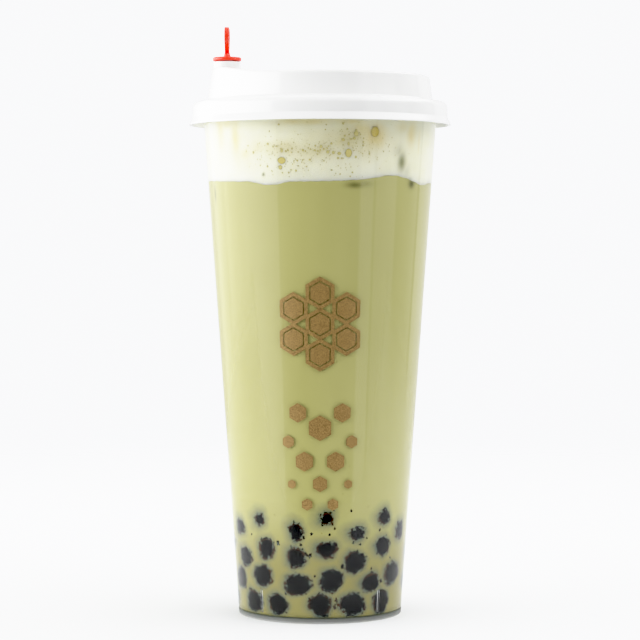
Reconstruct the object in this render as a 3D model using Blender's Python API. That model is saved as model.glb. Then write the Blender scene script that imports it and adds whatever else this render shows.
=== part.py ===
"""Matcha latte with milk foam and tapioca pearls, in a tall clear takeaway cup with a white sip lid.

Units are metres, +Z is up. The origin is the centre of the cup's foot. The lid's sip spout points to -X.
"""

import math
import random

import bmesh
import bpy
from mathutils import Matrix, Vector

MM = 0.001
TURN_STEPS = 48
GAP = 0.3 * MM

# Cup: the outer wall is two cones that meet at the stacking shoulder.
FOOT_RADIUS = 30.0 * MM
SHOULDER_HEIGHT = 41.0 * MM
SHOULDER_RADIUS = 32.7 * MM
LIP_TOP = 186.6 * MM
LIP_THICKNESS = 1.4 * MM
LIP_RADIUS = 45.0 * MM
MOUTH_RADIUS = 43.0 * MM
WALL = 0.8 * MM
LOWER_WALL = 1.3 * MM
FLOOR_TOP = 2.1 * MM
FOOT_RECESS = 0.9 * MM
FOOT_RING_WIDTH = 2.0 * MM
RIB_HEIGHT = 11.0 * MM
RIB_WIDTH = 1.0 * MM
RIB_PROUD = 0.4 * MM

# Lid: a flared skirt round the lip, a ring on top of it, and a raised body whose rim climbs to the spout.
SKIRT_BOTTOM = 179.3 * MM
SKIRT_RADIUS = 48.1 * MM
RING_RADIUS = 46.85 * MM
RING_TOP = 187.9 * MM
BODY_FOOT_RADIUS = 41.4 * MM
BODY_TOP_RADIUS = 40.2 * MM
RIM_TOP = 197.1 * MM
RIM_INNER_RADIUS = 37.0 * MM
PANEL_TOP = 194.6 * MM
LID_WALL = 1.0 * MM
SPOUT_LIFT = 2.9 * MM
SPOUT_FULL_ANGLE = math.radians(15)
SPOUT_END_ANGLE = math.radians(65)
SPOUT_X = -34.1 * MM
PLATFORM_RISE = 5.3 * MM
PLATFORM_FLAT = 7.0 * MM
PLATFORM_END = 16.0 * MM
COLLAR_RADIUS = 5.0 * MM
COLLAR_TOP = 202.7 * MM
SIP_HOLE_RADIUS = 3.8 * MM

# Plug: a disc on the collar, a shank in the sip hole and an upright heart-shaped pull tab.
DISC_RADIUS = 5.2 * MM
DISC_BOTTOM = 203.0 * MM
DISC_TOP = 204.3 * MM
SHANK_BOTTOM = 196.0 * MM
TAB_TOP = 215.1 * MM
TAB_THICKNESS = 1.5 * MM
TAB_FOOT_THICKNESS = 2.4 * MM

# Drink: the height of its edge under the foam, and the rises and dips of that edge round the wall.
DRINK_TOP = 158.0 * MM
DRINK_BOTTOM = 44.6 * MM
FOAM_TOP = 181.5 * MM
# Each swell is its angle from the front, its height and its half width.
EDGE_SWELLS = (
    (39, 2.2 * MM, 10),
    (-26, -1.3 * MM, 8),
    (64, -1.0 * MM, 7),
    (-80, 0.7 * MM, 18),
    (118, 1.2 * MM, 16),
    (165, -0.9 * MM, 14),
    (-140, 1.0 * MM, 20),
)

# Pearls: soft balls pressed against the wall, in uneven rows, over a plain core.
PEARL_RADIUS = 5.3 * MM
PEARL_CLEARANCE = 0.8 * MM
CORE_INSET = 6.2 * MM
CORE_TOP = 36.5 * MM
# The balls that the front shows: angle from the front, height in mm, and how wide each one is pressed flat in mm.
FRONT_PEARLS = (
    (-66, 33, 6), (-43, 37, 5), (4, 38, 5), (47, 37.5, 6), (66, 32, 6),
    (-16, 33, 5), (25, 32.5, 6), (-38, 26.5, 7), (-60, 22.5, 7), (-16, 24, 7),
    (4, 27, 7), (24, 22, 8), (46, 27, 7), (-86, 26, 7), (88, 24, 7),
    (-70, 14.5, 8.5), (-43, 16.5, 8.8), (-16, 14, 9.4), (8, 15.5, 8.6), (37, 14, 7.6),
    (60, 16.5, 8.6), (86, 13, 8), (-53, 7, 8.8), (-31, 6.8, 7.5), (0.5, 6.8, 8.5),
    (23, 7, 9.8), (47.5, 7, 8.5), (-82, 6.5, 7.5),
)
# The rows round the back: height in mm, and the balls between the first and the last angle.
BACK_ROWS = ((7, 101, 252, 6), (16, 112, 262, 6), (25, 110, 250, 5), (34, 98, 256, 5))
TOP_PEARLS = 7
FLAT_MERGE_ANGLE = math.radians(7)


def material(name, colour, roughness, alpha=1.0):
    """A plain Principled finish."""
    finish = bpy.data.materials.new(name)
    finish.use_nodes = True
    shader = finish.node_tree.nodes["Principled BSDF"]
    shader.inputs["Base Color"].default_value = (*colour, 1.0)
    shader.inputs["Roughness"].default_value = roughness
    shader.inputs["Metallic"].default_value = 0.0
    shader.inputs["Alpha"].default_value = alpha
    return finish


def add_object(name, mesh_builder, finish=None):
    """Turn a bmesh into a named object with outward faces."""
    bmesh.ops.recalc_face_normals(mesh_builder, faces=mesh_builder.faces)
    mesh = bpy.data.meshes.new(name)
    mesh_builder.to_mesh(mesh)
    mesh_builder.free()
    piece = bpy.data.objects.new(name, mesh)
    bpy.context.scene.collection.objects.link(piece)
    if finish:
        mesh.materials.append(finish)
    return piece


def shade(piece, sharp_degrees=35):
    """Shade round faces smooth and keep the edges crisp."""
    piece.data.shade_smooth()
    piece.data.set_sharp_from_angle(angle=math.radians(sharp_degrees))


def turned(name, outline, finish=None, height_at=None, steps=TURN_STEPS, centre_x=0.0):
    """Turn a closed outline of (radius, height) points round Z; height_at may move each point up or down."""
    builder = bmesh.new()
    rings = []
    for radius, height in outline:
        angles = [0.0] if radius == 0 else [math.tau * step / steps for step in range(steps)]
        ring = []
        for angle in angles:
            z = height_at(radius, height, angle) if height_at else height
            ring.append(builder.verts.new((centre_x + radius * math.cos(angle), radius * math.sin(angle), z)))
        rings.append(ring)
    closed = len(rings[0]) > 1
    pairs = list(zip(rings, rings[1:])) + ([(rings[-1], rings[0])] if closed else [])
    for ring, following in pairs:
        for step in range(steps):
            corners = [ring[step % len(ring)], ring[(step + 1) % len(ring)]]
            corners += [following[(step + 1) % len(following)], following[step % len(following)]]
            unique = list(dict.fromkeys(corners))
            if len(unique) > 2:
                builder.faces.new(unique)
    return add_object(name, builder, finish)


def combine(target, pieces, operation, solver="EXACT"):
    """Join pieces to a target, or cut them from it, with one Boolean on a collection, and remove them."""
    group = bpy.data.collections.new(target.name + "_tools")
    bpy.context.scene.collection.children.link(group)
    for piece in pieces:
        for owner in list(piece.users_collection):
            owner.objects.unlink(piece)
        group.objects.link(piece)
    boolean = target.modifiers.new("Combine", "BOOLEAN")
    boolean.operation = operation
    boolean.operand_type = "COLLECTION"
    boolean.collection = group
    boolean.solver = solver
    bpy.context.view_layer.objects.active = target
    bpy.ops.object.modifier_apply(modifier=boolean.name)
    for piece in list(group.objects):
        bpy.data.objects.remove(piece)
    bpy.data.collections.remove(group)


def smooth_step(low, high, value):
    share = min(1.0, max(0.0, (value - low) / (high - low)))
    return share * share * (3 - 2 * share)


def outer_radius(height):
    """The cup's outer radius at a height."""
    if height < SHOULDER_HEIGHT:
        return FOOT_RADIUS + (SHOULDER_RADIUS - FOOT_RADIUS) * height / SHOULDER_HEIGHT
    share = (height - SHOULDER_HEIGHT) / (LIP_TOP - LIP_THICKNESS - SHOULDER_HEIGHT)
    return SHOULDER_RADIUS + (MOUTH_RADIUS - SHOULDER_RADIUS) * share


def inner_radius(height):
    """The cup's inner radius at a height: the wall is thicker below the stacking shoulder."""
    return outer_radius(height) - (LOWER_WALL if height < SHOULDER_HEIGHT else WALL)


def on_wall(angle_degrees, radius, height):
    """A point at an angle from the front, positive to the right."""
    angle = math.radians(angle_degrees)
    return Vector((radius * math.sin(angle), -radius * math.cos(angle), height))


def make_cup(finish):
    """Clear injection-moulded cup with a foot ring, a stacking shoulder, a lip and four small inner ribs."""
    under_lip = LIP_TOP - LIP_THICKNESS
    corner = 0.4 * MM
    step_down = 0.5 * MM
    fillet = 2.4 * MM
    foot_inside = FOOT_RADIUS - corner - FOOT_RING_WIDTH
    outline = [
        (0, FOOT_RECESS),
        (foot_inside - 2 * corner, FOOT_RECESS),
        (foot_inside, 0),
        (FOOT_RADIUS - corner, 0),
        (FOOT_RADIUS, corner),
        (outer_radius(SHOULDER_HEIGHT), SHOULDER_HEIGHT),
        (outer_radius(under_lip), under_lip),
        (LIP_RADIUS - corner, under_lip),
        (LIP_RADIUS, under_lip + corner),
        (LIP_RADIUS, LIP_TOP - corner),
        (LIP_RADIUS - corner, LIP_TOP),
        (inner_radius(LIP_TOP) + corner, LIP_TOP),
        (inner_radius(LIP_TOP) - corner / 2, LIP_TOP - 2 * corner),
        (inner_radius(SHOULDER_HEIGHT), SHOULDER_HEIGHT + step_down),
        (inner_radius(SHOULDER_HEIGHT) - step_down, SHOULDER_HEIGHT - step_down),
        (inner_radius(FLOOR_TOP + fillet), FLOOR_TOP + fillet),
    ]
    fillet_centre = inner_radius(FLOOR_TOP + fillet) - fillet
    for degrees in (25, 50, 75):
        turn = math.radians(degrees)
        outline.append((fillet_centre + fillet * math.cos(turn), FLOOR_TOP + fillet * (1 - math.sin(turn))))
    outline += [(fillet_centre, FLOOR_TOP), (0, FLOOR_TOP)]
    cup = turned("cup", outline, finish)
    ribs = []
    sunk = 0.5 * MM
    for number in range(4):
        builder = bmesh.new()
        bmesh.ops.create_cube(builder, size=1.0)
        bottom = FLOOR_TOP - sunk
        place = on_wall(45 + 90 * number, 0, (bottom + RIB_HEIGHT) / 2)
        bmesh.ops.scale(builder, vec=(RIB_WIDTH, RIB_PROUD + sunk, RIB_HEIGHT - bottom), verts=builder.verts)
        for vert in builder.verts:
            vert.co.y -= inner_radius(vert.co.z + place.z) + (sunk - RIB_PROUD) / 2
        bmesh.ops.transform(builder, matrix=Matrix.Translation(place), verts=builder.verts)
        turn = Matrix.Rotation(math.radians(45 + 90 * number), 4, "Z")
        bmesh.ops.transform(builder, matrix=turn, verts=builder.verts)
        ribs.append(add_object("rib", builder))
    combine(cup, ribs, "UNION")
    shade(cup)
    return cup


def spout_lift(angle):
    """How far the lid's rim is raised at an angle: full at the spout, none past its end angle."""
    away = abs(math.atan2(math.sin(angle - math.pi), math.cos(angle - math.pi)))
    return SPOUT_LIFT * (1 - smooth_step(SPOUT_FULL_ANGLE, SPOUT_END_ANGLE, away))


def lid_height(radius, height, angle):
    """The lid's own height at a point: its rim climbs to the spout, and its panel rises to a platform there."""
    panel_middle = PANEL_TOP - LID_WALL / 2
    if radius < RIM_INNER_RADIUS + 0.5 * MM and abs(height - panel_middle) < LID_WALL:
        away = math.hypot(radius * math.cos(angle) - SPOUT_X, radius * math.sin(angle))
        return height + PLATFORM_RISE * (1 - smooth_step(PLATFORM_FLAT, PLATFORM_END, away))
    wall_share = (height - RING_TOP) / (RIM_TOP - LID_WALL - RING_TOP)
    return height + spout_lift(angle) * min(1.0, max(0.0, wall_share))


def make_lid(finish):
    """White snap-on lid, with a bead that holds it under the cup's lip."""
    panel_radii = [radius * MM for radius in (10, 17, 21, 25, 29, 33)]
    rim_bend = 0.8 * MM
    outline = [(0, PANEL_TOP)] + [(radius, PANEL_TOP) for radius in panel_radii]
    outline += [
        (RIM_INNER_RADIUS - rim_bend, PANEL_TOP),
        (RIM_INNER_RADIUS, RIM_TOP),
        (BODY_TOP_RADIUS - rim_bend - 0.2 * MM, RIM_TOP),
        (BODY_TOP_RADIUS - 0.3 * MM, RIM_TOP - 0.3 * MM),
        (BODY_TOP_RADIUS, RIM_TOP - rim_bend),
        (BODY_FOOT_RADIUS, RING_TOP + rim_bend),
        (BODY_FOOT_RADIUS + 0.5 * MM, RING_TOP + 0.2 * MM),
        (RING_RADIUS - 2.6 * MM, RING_TOP),
        (RING_RADIUS - 1.2 * MM, RING_TOP - 0.6 * MM),
        (RING_RADIUS - 0.4 * MM, RING_TOP - 1.5 * MM),
        (RING_RADIUS, RING_TOP - 3.0 * MM),
        (RING_RADIUS, SKIRT_BOTTOM + 2.7 * MM),
        (SKIRT_RADIUS, SKIRT_BOTTOM + 0.5 * MM),
        (SKIRT_RADIUS, SKIRT_BOTTOM),
        (SKIRT_RADIUS - LID_WALL, SKIRT_BOTTOM),
        (RING_RADIUS + 0.4 * MM - LID_WALL, SKIRT_BOTTOM + 2.0 * MM),
        (RING_RADIUS - LID_WALL, SKIRT_BOTTOM + 3.0 * MM),
        (RING_RADIUS - LID_WALL, SKIRT_BOTTOM + 4.2 * MM),
        (LIP_RADIUS - GAP, SKIRT_BOTTOM + 4.9 * MM),
        (RING_RADIUS - LID_WALL, SKIRT_BOTTOM + 5.5 * MM),
        (RING_RADIUS - LID_WALL, LIP_TOP - 0.7 * MM),
        (LIP_RADIUS + 0.2 * MM, LIP_TOP + GAP),
        (BODY_FOOT_RADIUS - LID_WALL + rim_bend, LIP_TOP + GAP),
        (BODY_FOOT_RADIUS - LID_WALL, RING_TOP + rim_bend),
        (BODY_TOP_RADIUS - LID_WALL, RIM_TOP - LID_WALL - 0.3 * MM),
        (BODY_TOP_RADIUS - LID_WALL - 0.5 * MM, RIM_TOP - LID_WALL),
        (RIM_INNER_RADIUS + LID_WALL, RIM_TOP - LID_WALL),
        (RIM_INNER_RADIUS + 0.2 * MM, PANEL_TOP - LID_WALL),
    ]
    outline += [(radius, PANEL_TOP - LID_WALL) for radius in reversed(panel_radii)] + [(0, PANEL_TOP - LID_WALL)]
    lid = turned("lid", outline, finish, lid_height)
    sleeve_bottom = COLLAR_TOP - 4.5 * MM
    collar_edge = 0.3 * MM
    collar_outline = [
        (0, COLLAR_TOP),
        (COLLAR_RADIUS - collar_edge, COLLAR_TOP),
        (COLLAR_RADIUS, COLLAR_TOP - collar_edge),
        (COLLAR_RADIUS, sleeve_bottom),
        (0, sleeve_bottom),
    ]
    combine(lid, [turned("collar", collar_outline, steps=32, centre_x=SPOUT_X)], "UNION")
    hole_bottom = RING_TOP
    hole_outline = [(0, TAB_TOP), (SIP_HOLE_RADIUS, TAB_TOP), (SIP_HOLE_RADIUS, hole_bottom), (0, hole_bottom)]
    combine(lid, [turned("sip_hole", hole_outline, steps=32, centre_x=SPOUT_X)], "DIFFERENCE")
    shade(lid)
    return lid


def heart_tab():
    """An upright heart-shaped plate in the YZ plane, its point sunk in the disc."""
    points = 36
    point_height = DISC_TOP - 0.6 * MM
    curve = []
    for step in range(points):
        turn = math.tau * step / points
        across = 16 * math.sin(turn) ** 3
        up = 13 * math.cos(turn) - 5 * math.cos(2 * turn) - 2 * math.cos(3 * turn) - math.cos(4 * turn)
        curve.append((across, up))
    lowest = min(up for _, up in curve)
    highest = max(up for _, up in curve)
    scale = (TAB_TOP - point_height) / (highest - lowest)
    builder = bmesh.new()
    outline = []
    for across, up in curve:
        height = point_height + (up - lowest) * scale
        outline.append(builder.verts.new((SPOUT_X - TAB_THICKNESS / 2, across * scale, height)))
    face = builder.faces.new(outline)
    sides = bmesh.ops.extrude_face_region(builder, geom=[face])
    moved = [item for item in sides["geom"] if isinstance(item, bmesh.types.BMVert)]
    bmesh.ops.translate(builder, vec=(TAB_THICKNESS, 0, 0), verts=moved)
    return add_object("heart", builder)


def make_plug(finish):
    """Red stopper for the sip hole."""
    shank_radius = SIP_HOLE_RADIUS - GAP
    edge = 0.35 * MM
    outline = [
        (0, DISC_TOP + 0.1 * MM),
        (DISC_RADIUS - edge, DISC_TOP),
        (DISC_RADIUS, DISC_TOP - edge),
        (DISC_RADIUS, DISC_BOTTOM + edge / 2),
        (DISC_RADIUS - edge / 2, DISC_BOTTOM),
        (shank_radius, DISC_BOTTOM),
        (shank_radius, SHANK_BOTTOM + 2 * edge),
        (shank_radius - 2 * edge, SHANK_BOTTOM),
        (0, SHANK_BOTTOM),
    ]
    plug = turned("plug", outline, finish, steps=32, centre_x=SPOUT_X)
    neck = bmesh.new()
    bmesh.ops.create_cone(neck, cap_ends=True, segments=16, radius1=TAB_FOOT_THICKNESS / 2 + 0.3 * MM,
                          radius2=TAB_THICKNESS / 2 + 0.1 * MM, depth=2.2 * MM)
    bmesh.ops.scale(neck, vec=(1.0, 1.5, 1.0), verts=neck.verts)
    bmesh.ops.translate(neck, vec=(SPOUT_X, 0, DISC_TOP + 0.9 * MM), verts=neck.verts)
    combine(plug, [heart_tab(), add_object("neck", neck)], "UNION")
    shade(plug, 30)
    return plug


def edge_height(angle):
    """The height of the drink's edge under the foam, at an angle turned from +X."""
    from_front = math.degrees(angle) + 90
    height = DRINK_TOP
    for centre, rise, half_width in EDGE_SWELLS:
        away = (from_front - centre + 180) % 360 - 180
        height += rise * math.exp(-((away / half_width) ** 2) / 2)
    return height


def liquid_height(radius, height, angle):
    """The face between drink and foam: wavy at the wall and level in the middle."""
    if abs(height - DRINK_TOP) > 2 * GAP:
        return height
    share = smooth_step(0.3, 1.0, radius / inner_radius(DRINK_TOP))
    return height + (edge_height(angle) - DRINK_TOP) * share


def make_matcha(finish):
    """The drink above the pearls, up to the foam."""
    radius = inner_radius(DRINK_TOP) - GAP
    outline = [
        (0, DRINK_TOP),
        (radius * 0.4, DRINK_TOP),
        (radius * 0.75, DRINK_TOP),
        (radius, DRINK_TOP),
        (inner_radius(DRINK_BOTTOM) - GAP, DRINK_BOTTOM),
        (0, DRINK_BOTTOM),
    ]
    matcha = turned("matcha", outline, finish, liquid_height)
    shade(matcha)
    return matcha


def make_foam(finish):
    """The cap of milk foam, with a slightly lumpy top."""
    lumps = random.Random(5)
    low = DRINK_TOP + GAP
    radius = inner_radius(low) - GAP
    top_radius = inner_radius(FOAM_TOP) - GAP
    meniscus = 0.6 * MM

    def foam_height(ring_radius, height, angle):
        if height < FOAM_TOP - MM:
            return liquid_height(ring_radius, height, angle)
        if ring_radius > top_radius - meniscus:
            return height
        return height - lumps.uniform(0, 1) * meniscus

    outline = [
        (0, FOAM_TOP),
        (top_radius * 0.3, FOAM_TOP),
        (top_radius * 0.6, FOAM_TOP),
        (top_radius * 0.88, FOAM_TOP),
        (top_radius, FOAM_TOP),
        (radius, low),
        (radius * 0.75, low),
        (radius * 0.4, low),
        (0, low),
    ]
    foam = turned("foam", outline, finish, foam_height)
    shade(foam)
    return foam


def thin_out(heap):
    """Merge the facets that lie nearly in one plane, such as where the balls are pressed flat."""
    builder = bmesh.new()
    builder.from_mesh(heap.data)
    bmesh.ops.dissolve_limit(builder, angle_limit=FLAT_MERGE_ANGLE, verts=builder.verts, edges=builder.edges)
    bmesh.ops.triangulate(builder, faces=builder.faces)
    builder.to_mesh(heap.data)
    builder.free()


def pearl(centre, radius, turn):
    """One soft ball, pressed flat where it meets the wall and the floor."""
    builder = bmesh.new()
    bmesh.ops.create_icosphere(builder, subdivisions=2, radius=radius)
    bmesh.ops.transform(builder, matrix=Matrix.Translation(centre) @ turn, verts=builder.verts)
    lowest = FLOOR_TOP + PEARL_CLEARANCE
    for vert in builder.verts:
        vert.co.z = max(vert.co.z, lowest)
        away = math.hypot(vert.co.x, vert.co.y)
        floor_round = max(0.0, FLOOR_TOP + 2.4 * MM - vert.co.z) * 0.6
        limit = inner_radius(vert.co.z) - PEARL_CLEARANCE - floor_round
        if away > limit:
            vert.co.x *= limit / away
            vert.co.y *= limit / away
    return add_object("pearl", builder)


def make_pearls(finish):
    """The heap of tapioca pearls: a core with the balls that show fused on."""
    draw = random.Random(11)
    places = []
    for angle, height, flat_width in FRONT_PEARLS:
        sink = math.sqrt(max(0.0, PEARL_RADIUS ** 2 - (flat_width * MM / 2) ** 2))
        places.append((angle, height * MM, sink))
    for height, first, last, count in BACK_ROWS:
        for number in range(count):
            angle = first + (last - first) * number / (count - 1) + draw.uniform(-3, 3)
            places.append((angle, (height + draw.uniform(-1.2, 1.2)) * MM, PEARL_RADIUS * draw.uniform(0.5, 0.8)))
    balls = []
    for angle, height, sink in places:
        radius = inner_radius(height) - PEARL_CLEARANCE - sink
        turn = Matrix.Rotation(draw.uniform(0, math.tau), 4, "X") @ Matrix.Rotation(draw.uniform(0, 3), 4, "Z")
        balls.append(pearl(on_wall(angle, radius, height), PEARL_RADIUS, turn))
    for number in range(TOP_PEARLS):
        angle = number * 137.5
        radius = 22.5 * MM * math.sqrt((number + 0.4) / TOP_PEARLS)
        height = CORE_TOP + draw.uniform(-1.5, 1.2) * MM
        turn = Matrix.Rotation(draw.uniform(0, math.tau), 4, "Y")
        balls.append(pearl(on_wall(angle, radius, height), PEARL_RADIUS, turn))
    core_bottom = FLOOR_TOP + PEARL_CLEARANCE + GAP
    outline = [
        (0, CORE_TOP),
        (inner_radius(CORE_TOP) - CORE_INSET, CORE_TOP),
        (inner_radius(core_bottom) - CORE_INSET, core_bottom),
        (0, core_bottom),
    ]
    heap = turned("pearls", outline, finish, steps=20)
    combine(heap, balls, "UNION")
    thin_out(heap)
    shade(heap, 60)
    return heap


for leftover in list(bpy.data.objects):
    bpy.data.objects.remove(leftover)

make_cup(material("clear_polypropylene", (0.93, 0.95, 0.95), 0.08, alpha=0.25))
make_lid(material("white_polypropylene", (0.88, 0.88, 0.87), 0.25))
make_plug(material("red_polyethylene", (0.80, 0.03, 0.015), 0.3))
make_matcha(material("matcha_milk", (0.52, 0.50, 0.19), 0.5))
make_foam(material("milk_foam", (0.84, 0.83, 0.68), 0.7))
make_pearls(material("tapioca", (0.016, 0.013, 0.015), 0.35))
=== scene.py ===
import math
import random

import bpy
import numpy as np
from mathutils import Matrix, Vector, noise


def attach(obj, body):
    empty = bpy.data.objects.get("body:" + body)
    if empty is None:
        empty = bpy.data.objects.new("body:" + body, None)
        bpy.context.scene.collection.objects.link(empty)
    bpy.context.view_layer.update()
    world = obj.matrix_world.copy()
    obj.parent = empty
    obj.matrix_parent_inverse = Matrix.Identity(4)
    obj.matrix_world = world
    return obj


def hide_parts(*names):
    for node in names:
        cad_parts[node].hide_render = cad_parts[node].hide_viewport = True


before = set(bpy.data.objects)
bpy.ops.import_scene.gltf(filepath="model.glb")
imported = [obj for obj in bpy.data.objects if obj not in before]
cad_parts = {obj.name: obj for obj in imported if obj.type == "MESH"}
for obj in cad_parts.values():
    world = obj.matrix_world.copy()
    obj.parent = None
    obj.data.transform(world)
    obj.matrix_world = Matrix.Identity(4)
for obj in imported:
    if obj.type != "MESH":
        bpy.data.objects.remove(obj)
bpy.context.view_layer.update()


# The cup: clear polypropylene, injection moulded in one shot, about 0.7 litre to the brim. Its wall is two
# cones that meet at a stacking shoulder. It stands on a foot ring, its lip takes the lid, and four short
# ribs inside the foot keep stacked cups apart. Sizes are in mm.
MM = 0.001
CUP_SIDES = 240
FOOT_RADIUS = 30.0
SHOULDER_HEIGHT = 41.0
SHOULDER_RADIUS = 32.7
LIP_TOP = 186.6
LIP_THICKNESS = 1.4
LIP_RADIUS = 45.0
MOUTH_RADIUS = 43.0
WALL = 0.8
LOWER_WALL = 1.3
SHOULDER_EASE = 5.0
FLOOR_TOP = 2.1
FLOOR_FILLET = 2.4
FOOT_RECESS = 0.9
FOOT_RING_WIDTH = 2.0
RIB_HEIGHT = 11.0
RIB_WIDTH = 0.9
RIB_PROUD = 0.4
RIB_SUNK = 0.5
RIB_ROUNDING = 0.3
RIB_STRAIGHT_BELOW = 6.0
FLOOR_RING = 20
# The heights of the rings of the inner wall, closest together where it steps at the shoulder.
INNER_HEIGHTS = (
    150, 120, 80, 60, 44, 43.5, 43, 42, 41.3, 41, 40.7, 40, 39, 38.5, 38, 30, 20, 10,
    FLOOR_TOP + FLOOR_FILLET,
)


def limited(share):
    """A share kept between 0 and 1."""
    return min(1.0, max(0.0, share))


def outer_radius(height):
    """The cup's outer radius at a height."""
    if height < SHOULDER_HEIGHT:
        return FOOT_RADIUS + (SHOULDER_RADIUS - FOOT_RADIUS) * height / SHOULDER_HEIGHT
    share = (height - SHOULDER_HEIGHT) / (LIP_TOP - LIP_THICKNESS - SHOULDER_HEIGHT)
    return SHOULDER_RADIUS + (MOUTH_RADIUS - SHOULDER_RADIUS) * share


def inner_radius(height):
    """The cup's inner radius at a height, with the fillet at its floor and the step at its shoulder."""
    step_share = limited((height - SHOULDER_HEIGHT + SHOULDER_EASE / 2) / SHOULDER_EASE)
    radius = outer_radius(height) - LOWER_WALL + (LOWER_WALL - WALL) * step_share
    into_fillet = min(FLOOR_FILLET, max(0.0, FLOOR_TOP + FLOOR_FILLET - height))
    return radius - FLOOR_FILLET + math.sqrt(FLOOR_FILLET ** 2 - into_fillet ** 2)


def floor_fillet(reach):
    """Points of (radius, height) round the corner of the cup's floor, so far into its plastic."""
    hub = inner_radius(FLOOR_TOP + FLOOR_FILLET) - FLOOR_FILLET
    size = FLOOR_FILLET + reach
    turns = [math.radians(degrees) for degrees in range(10, 91, 10)]
    return [(hub + size * math.cos(turn), FLOOR_TOP + FLOOR_FILLET - size * math.sin(turn)) for turn in turns]


def on_wall(turn, out, side, height):
    """Points so far out from the axis, and so far to the side, at a turn from the front in radians."""
    across = out * np.sin(turn) + side * np.cos(turn)
    back = side * np.sin(turn) - out * np.cos(turn)
    return np.stack(np.broadcast_arrays(across, back, height), axis=-1)


# A corner's curve takes a little less than half of the side to the next corner.
MOST_OF_SIDE = 0.49


def rounded(corners, steps):
    """Points along an outline of (radius, height, rounding) corners, each corner eased into a small curve."""
    points = []
    for number, (radius, height, rounding) in enumerate(corners):
        corner = Vector((radius, height))
        if rounding == 0:
            points.append(corner)
            continue
        before = Vector(corners[number - 1][:2]) - corner
        after = Vector(corners[number + 1][:2]) - corner
        start = corner + before.normalized() * min(rounding, before.length * MOST_OF_SIDE)
        end = corner + after.normalized() * min(rounding, after.length * MOST_OF_SIDE)
        for step in range(steps + 1):
            share = step / steps
            points.append(start.lerp(corner, share).lerp(corner.lerp(end, share), share))
    return [(point.x, point.y) for point in points]


def edit(kind, action="SELECT"):
    """Enter edit mode, with all vertices or faces selected, or with none."""
    bpy.ops.object.mode_set(mode="EDIT")
    bpy.ops.mesh.select_mode(type=kind)
    bpy.ops.mesh.select_all(action=action)


def pick(piece, test):
    """Select the vertices whose place passes the test, and nothing else, and stay in edit mode."""
    edit("VERT", "DESELECT")
    bpy.ops.object.mode_set(mode="OBJECT")
    for vertex in piece.data.vertices:
        vertex.select = bool(test(vertex.co))
    bpy.ops.object.mode_set(mode="EDIT")


def face_outward():
    """Turn every face of the piece in edit mode outward, and leave edit mode."""
    bpy.ops.mesh.select_all(action="SELECT")
    bpy.ops.mesh.normals_make_consistent(inside=False)
    bpy.ops.object.mode_set(mode="OBJECT")


def on_lathe(name, outline, sides, centre_x=0.0):
    """Turn an outline of (radius, height) points in mm, whose two ends are on the axis, ring by ring."""
    bpy.ops.object.select_all(action="DESELECT")
    rings = outline[1:-1]
    radius, height = rings[0]
    bpy.ops.mesh.primitive_circle_add(vertices=sides, radius=radius * MM, location=(0, 0, height * MM))
    bpy.ops.object.transform_apply(location=True, rotation=False, scale=False)
    piece = bpy.context.active_object
    piece.name = name
    piece.data.name = name
    edit("VERT")
    for next_radius, next_height in rings[1:]:
        rise = (0, 0, (next_height - height) * MM)
        bpy.ops.mesh.extrude_region_move(TRANSFORM_OT_translate={"value": rise})
        grow = next_radius / radius
        bpy.ops.transform.resize(value=(grow, grow, 1), center_override=(0, 0, next_height * MM))
        radius, height = next_radius, next_height
    for (ring_radius, ring_height), (_, hub_height) in ((rings[-1], outline[-1]), (rings[0], outline[0])):
        place = Vector((ring_radius * MM, ring_height * MM))
        pick(piece, lambda spot: (Vector((math.hypot(spot.x, spot.y), spot.z)) - place).length < 1e-6)
        rise = (0, 0, (hub_height - ring_height) * MM)
        bpy.ops.mesh.extrude_region_move(TRANSFORM_OT_translate={"value": rise})
        bpy.ops.mesh.merge(type="CENTER")
    bpy.ops.mesh.select_all(action="SELECT")
    bpy.ops.transform.translate(value=(centre_x * MM, 0, 0))
    face_outward()
    return piece


def select_only(*pieces):
    """Select these pieces and nothing else, with the first one active."""
    bpy.ops.object.select_all(action="DESELECT")
    for piece in pieces:
        piece.select_set(True)
    bpy.context.view_layer.objects.active = pieces[0]


def shade_round(piece, sharp_degrees):
    """Shade smooth, with crisp edges where the form really turns a corner."""
    select_only(piece)
    bpy.ops.object.shade_smooth_by_angle(angle=math.radians(sharp_degrees))


def cover(piece, material, sharp_degrees):
    """Give a piece its one material, and shade it."""
    piece.data.materials.clear()
    piece.data.materials.append(material)
    shade_round(piece, sharp_degrees)


def combine(target, tool, operation):
    """Join or cut with another piece, and remove that piece."""
    boolean = target.modifiers.new("Combine", "BOOLEAN")
    boolean.operation = operation
    boolean.object = tool
    boolean.solver = "EXACT"
    select_only(target)
    bpy.ops.object.modifier_apply(modifier=boolean.name)
    bpy.data.objects.remove(tool)


def colour(hex_value):
    """A linear colour from an sRGB hex value."""
    shares = [int(hex_value[start:start + 2], 16) / 255 for start in (0, 2, 4)]
    linear = [share / 12.92 if share <= 0.04045 else ((share + 0.055) / 1.055) ** 2.4 for share in shares]
    return linear + [1.0]


def new_material(name):
    """An empty node material."""
    material = bpy.data.materials.new(name)
    material.use_nodes = True
    material.node_tree.nodes.clear()
    return material


def add_node(material, kind, inputs=None, **settings):
    """Add a shader node, set its properties, and fill its inputs with values, with other nodes' outputs, or
    with other nodes, which stand for their first output."""
    node = material.node_tree.nodes.new("ShaderNode" + kind)
    for name, value in settings.items():
        setattr(node, name, value)
    for name, value in (inputs or {}).items():
        if isinstance(value, bpy.types.Node):
            value = value.outputs[0]
        if isinstance(value, bpy.types.NodeSocket):
            material.node_tree.links.new(value, node.inputs[name])
        else:
            node.inputs[name].default_value = value
    return node


def own_place(material):
    """Where a point lies on the piece itself, in metres."""
    return add_node(material, "TexCoord").outputs["Object"]


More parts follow.
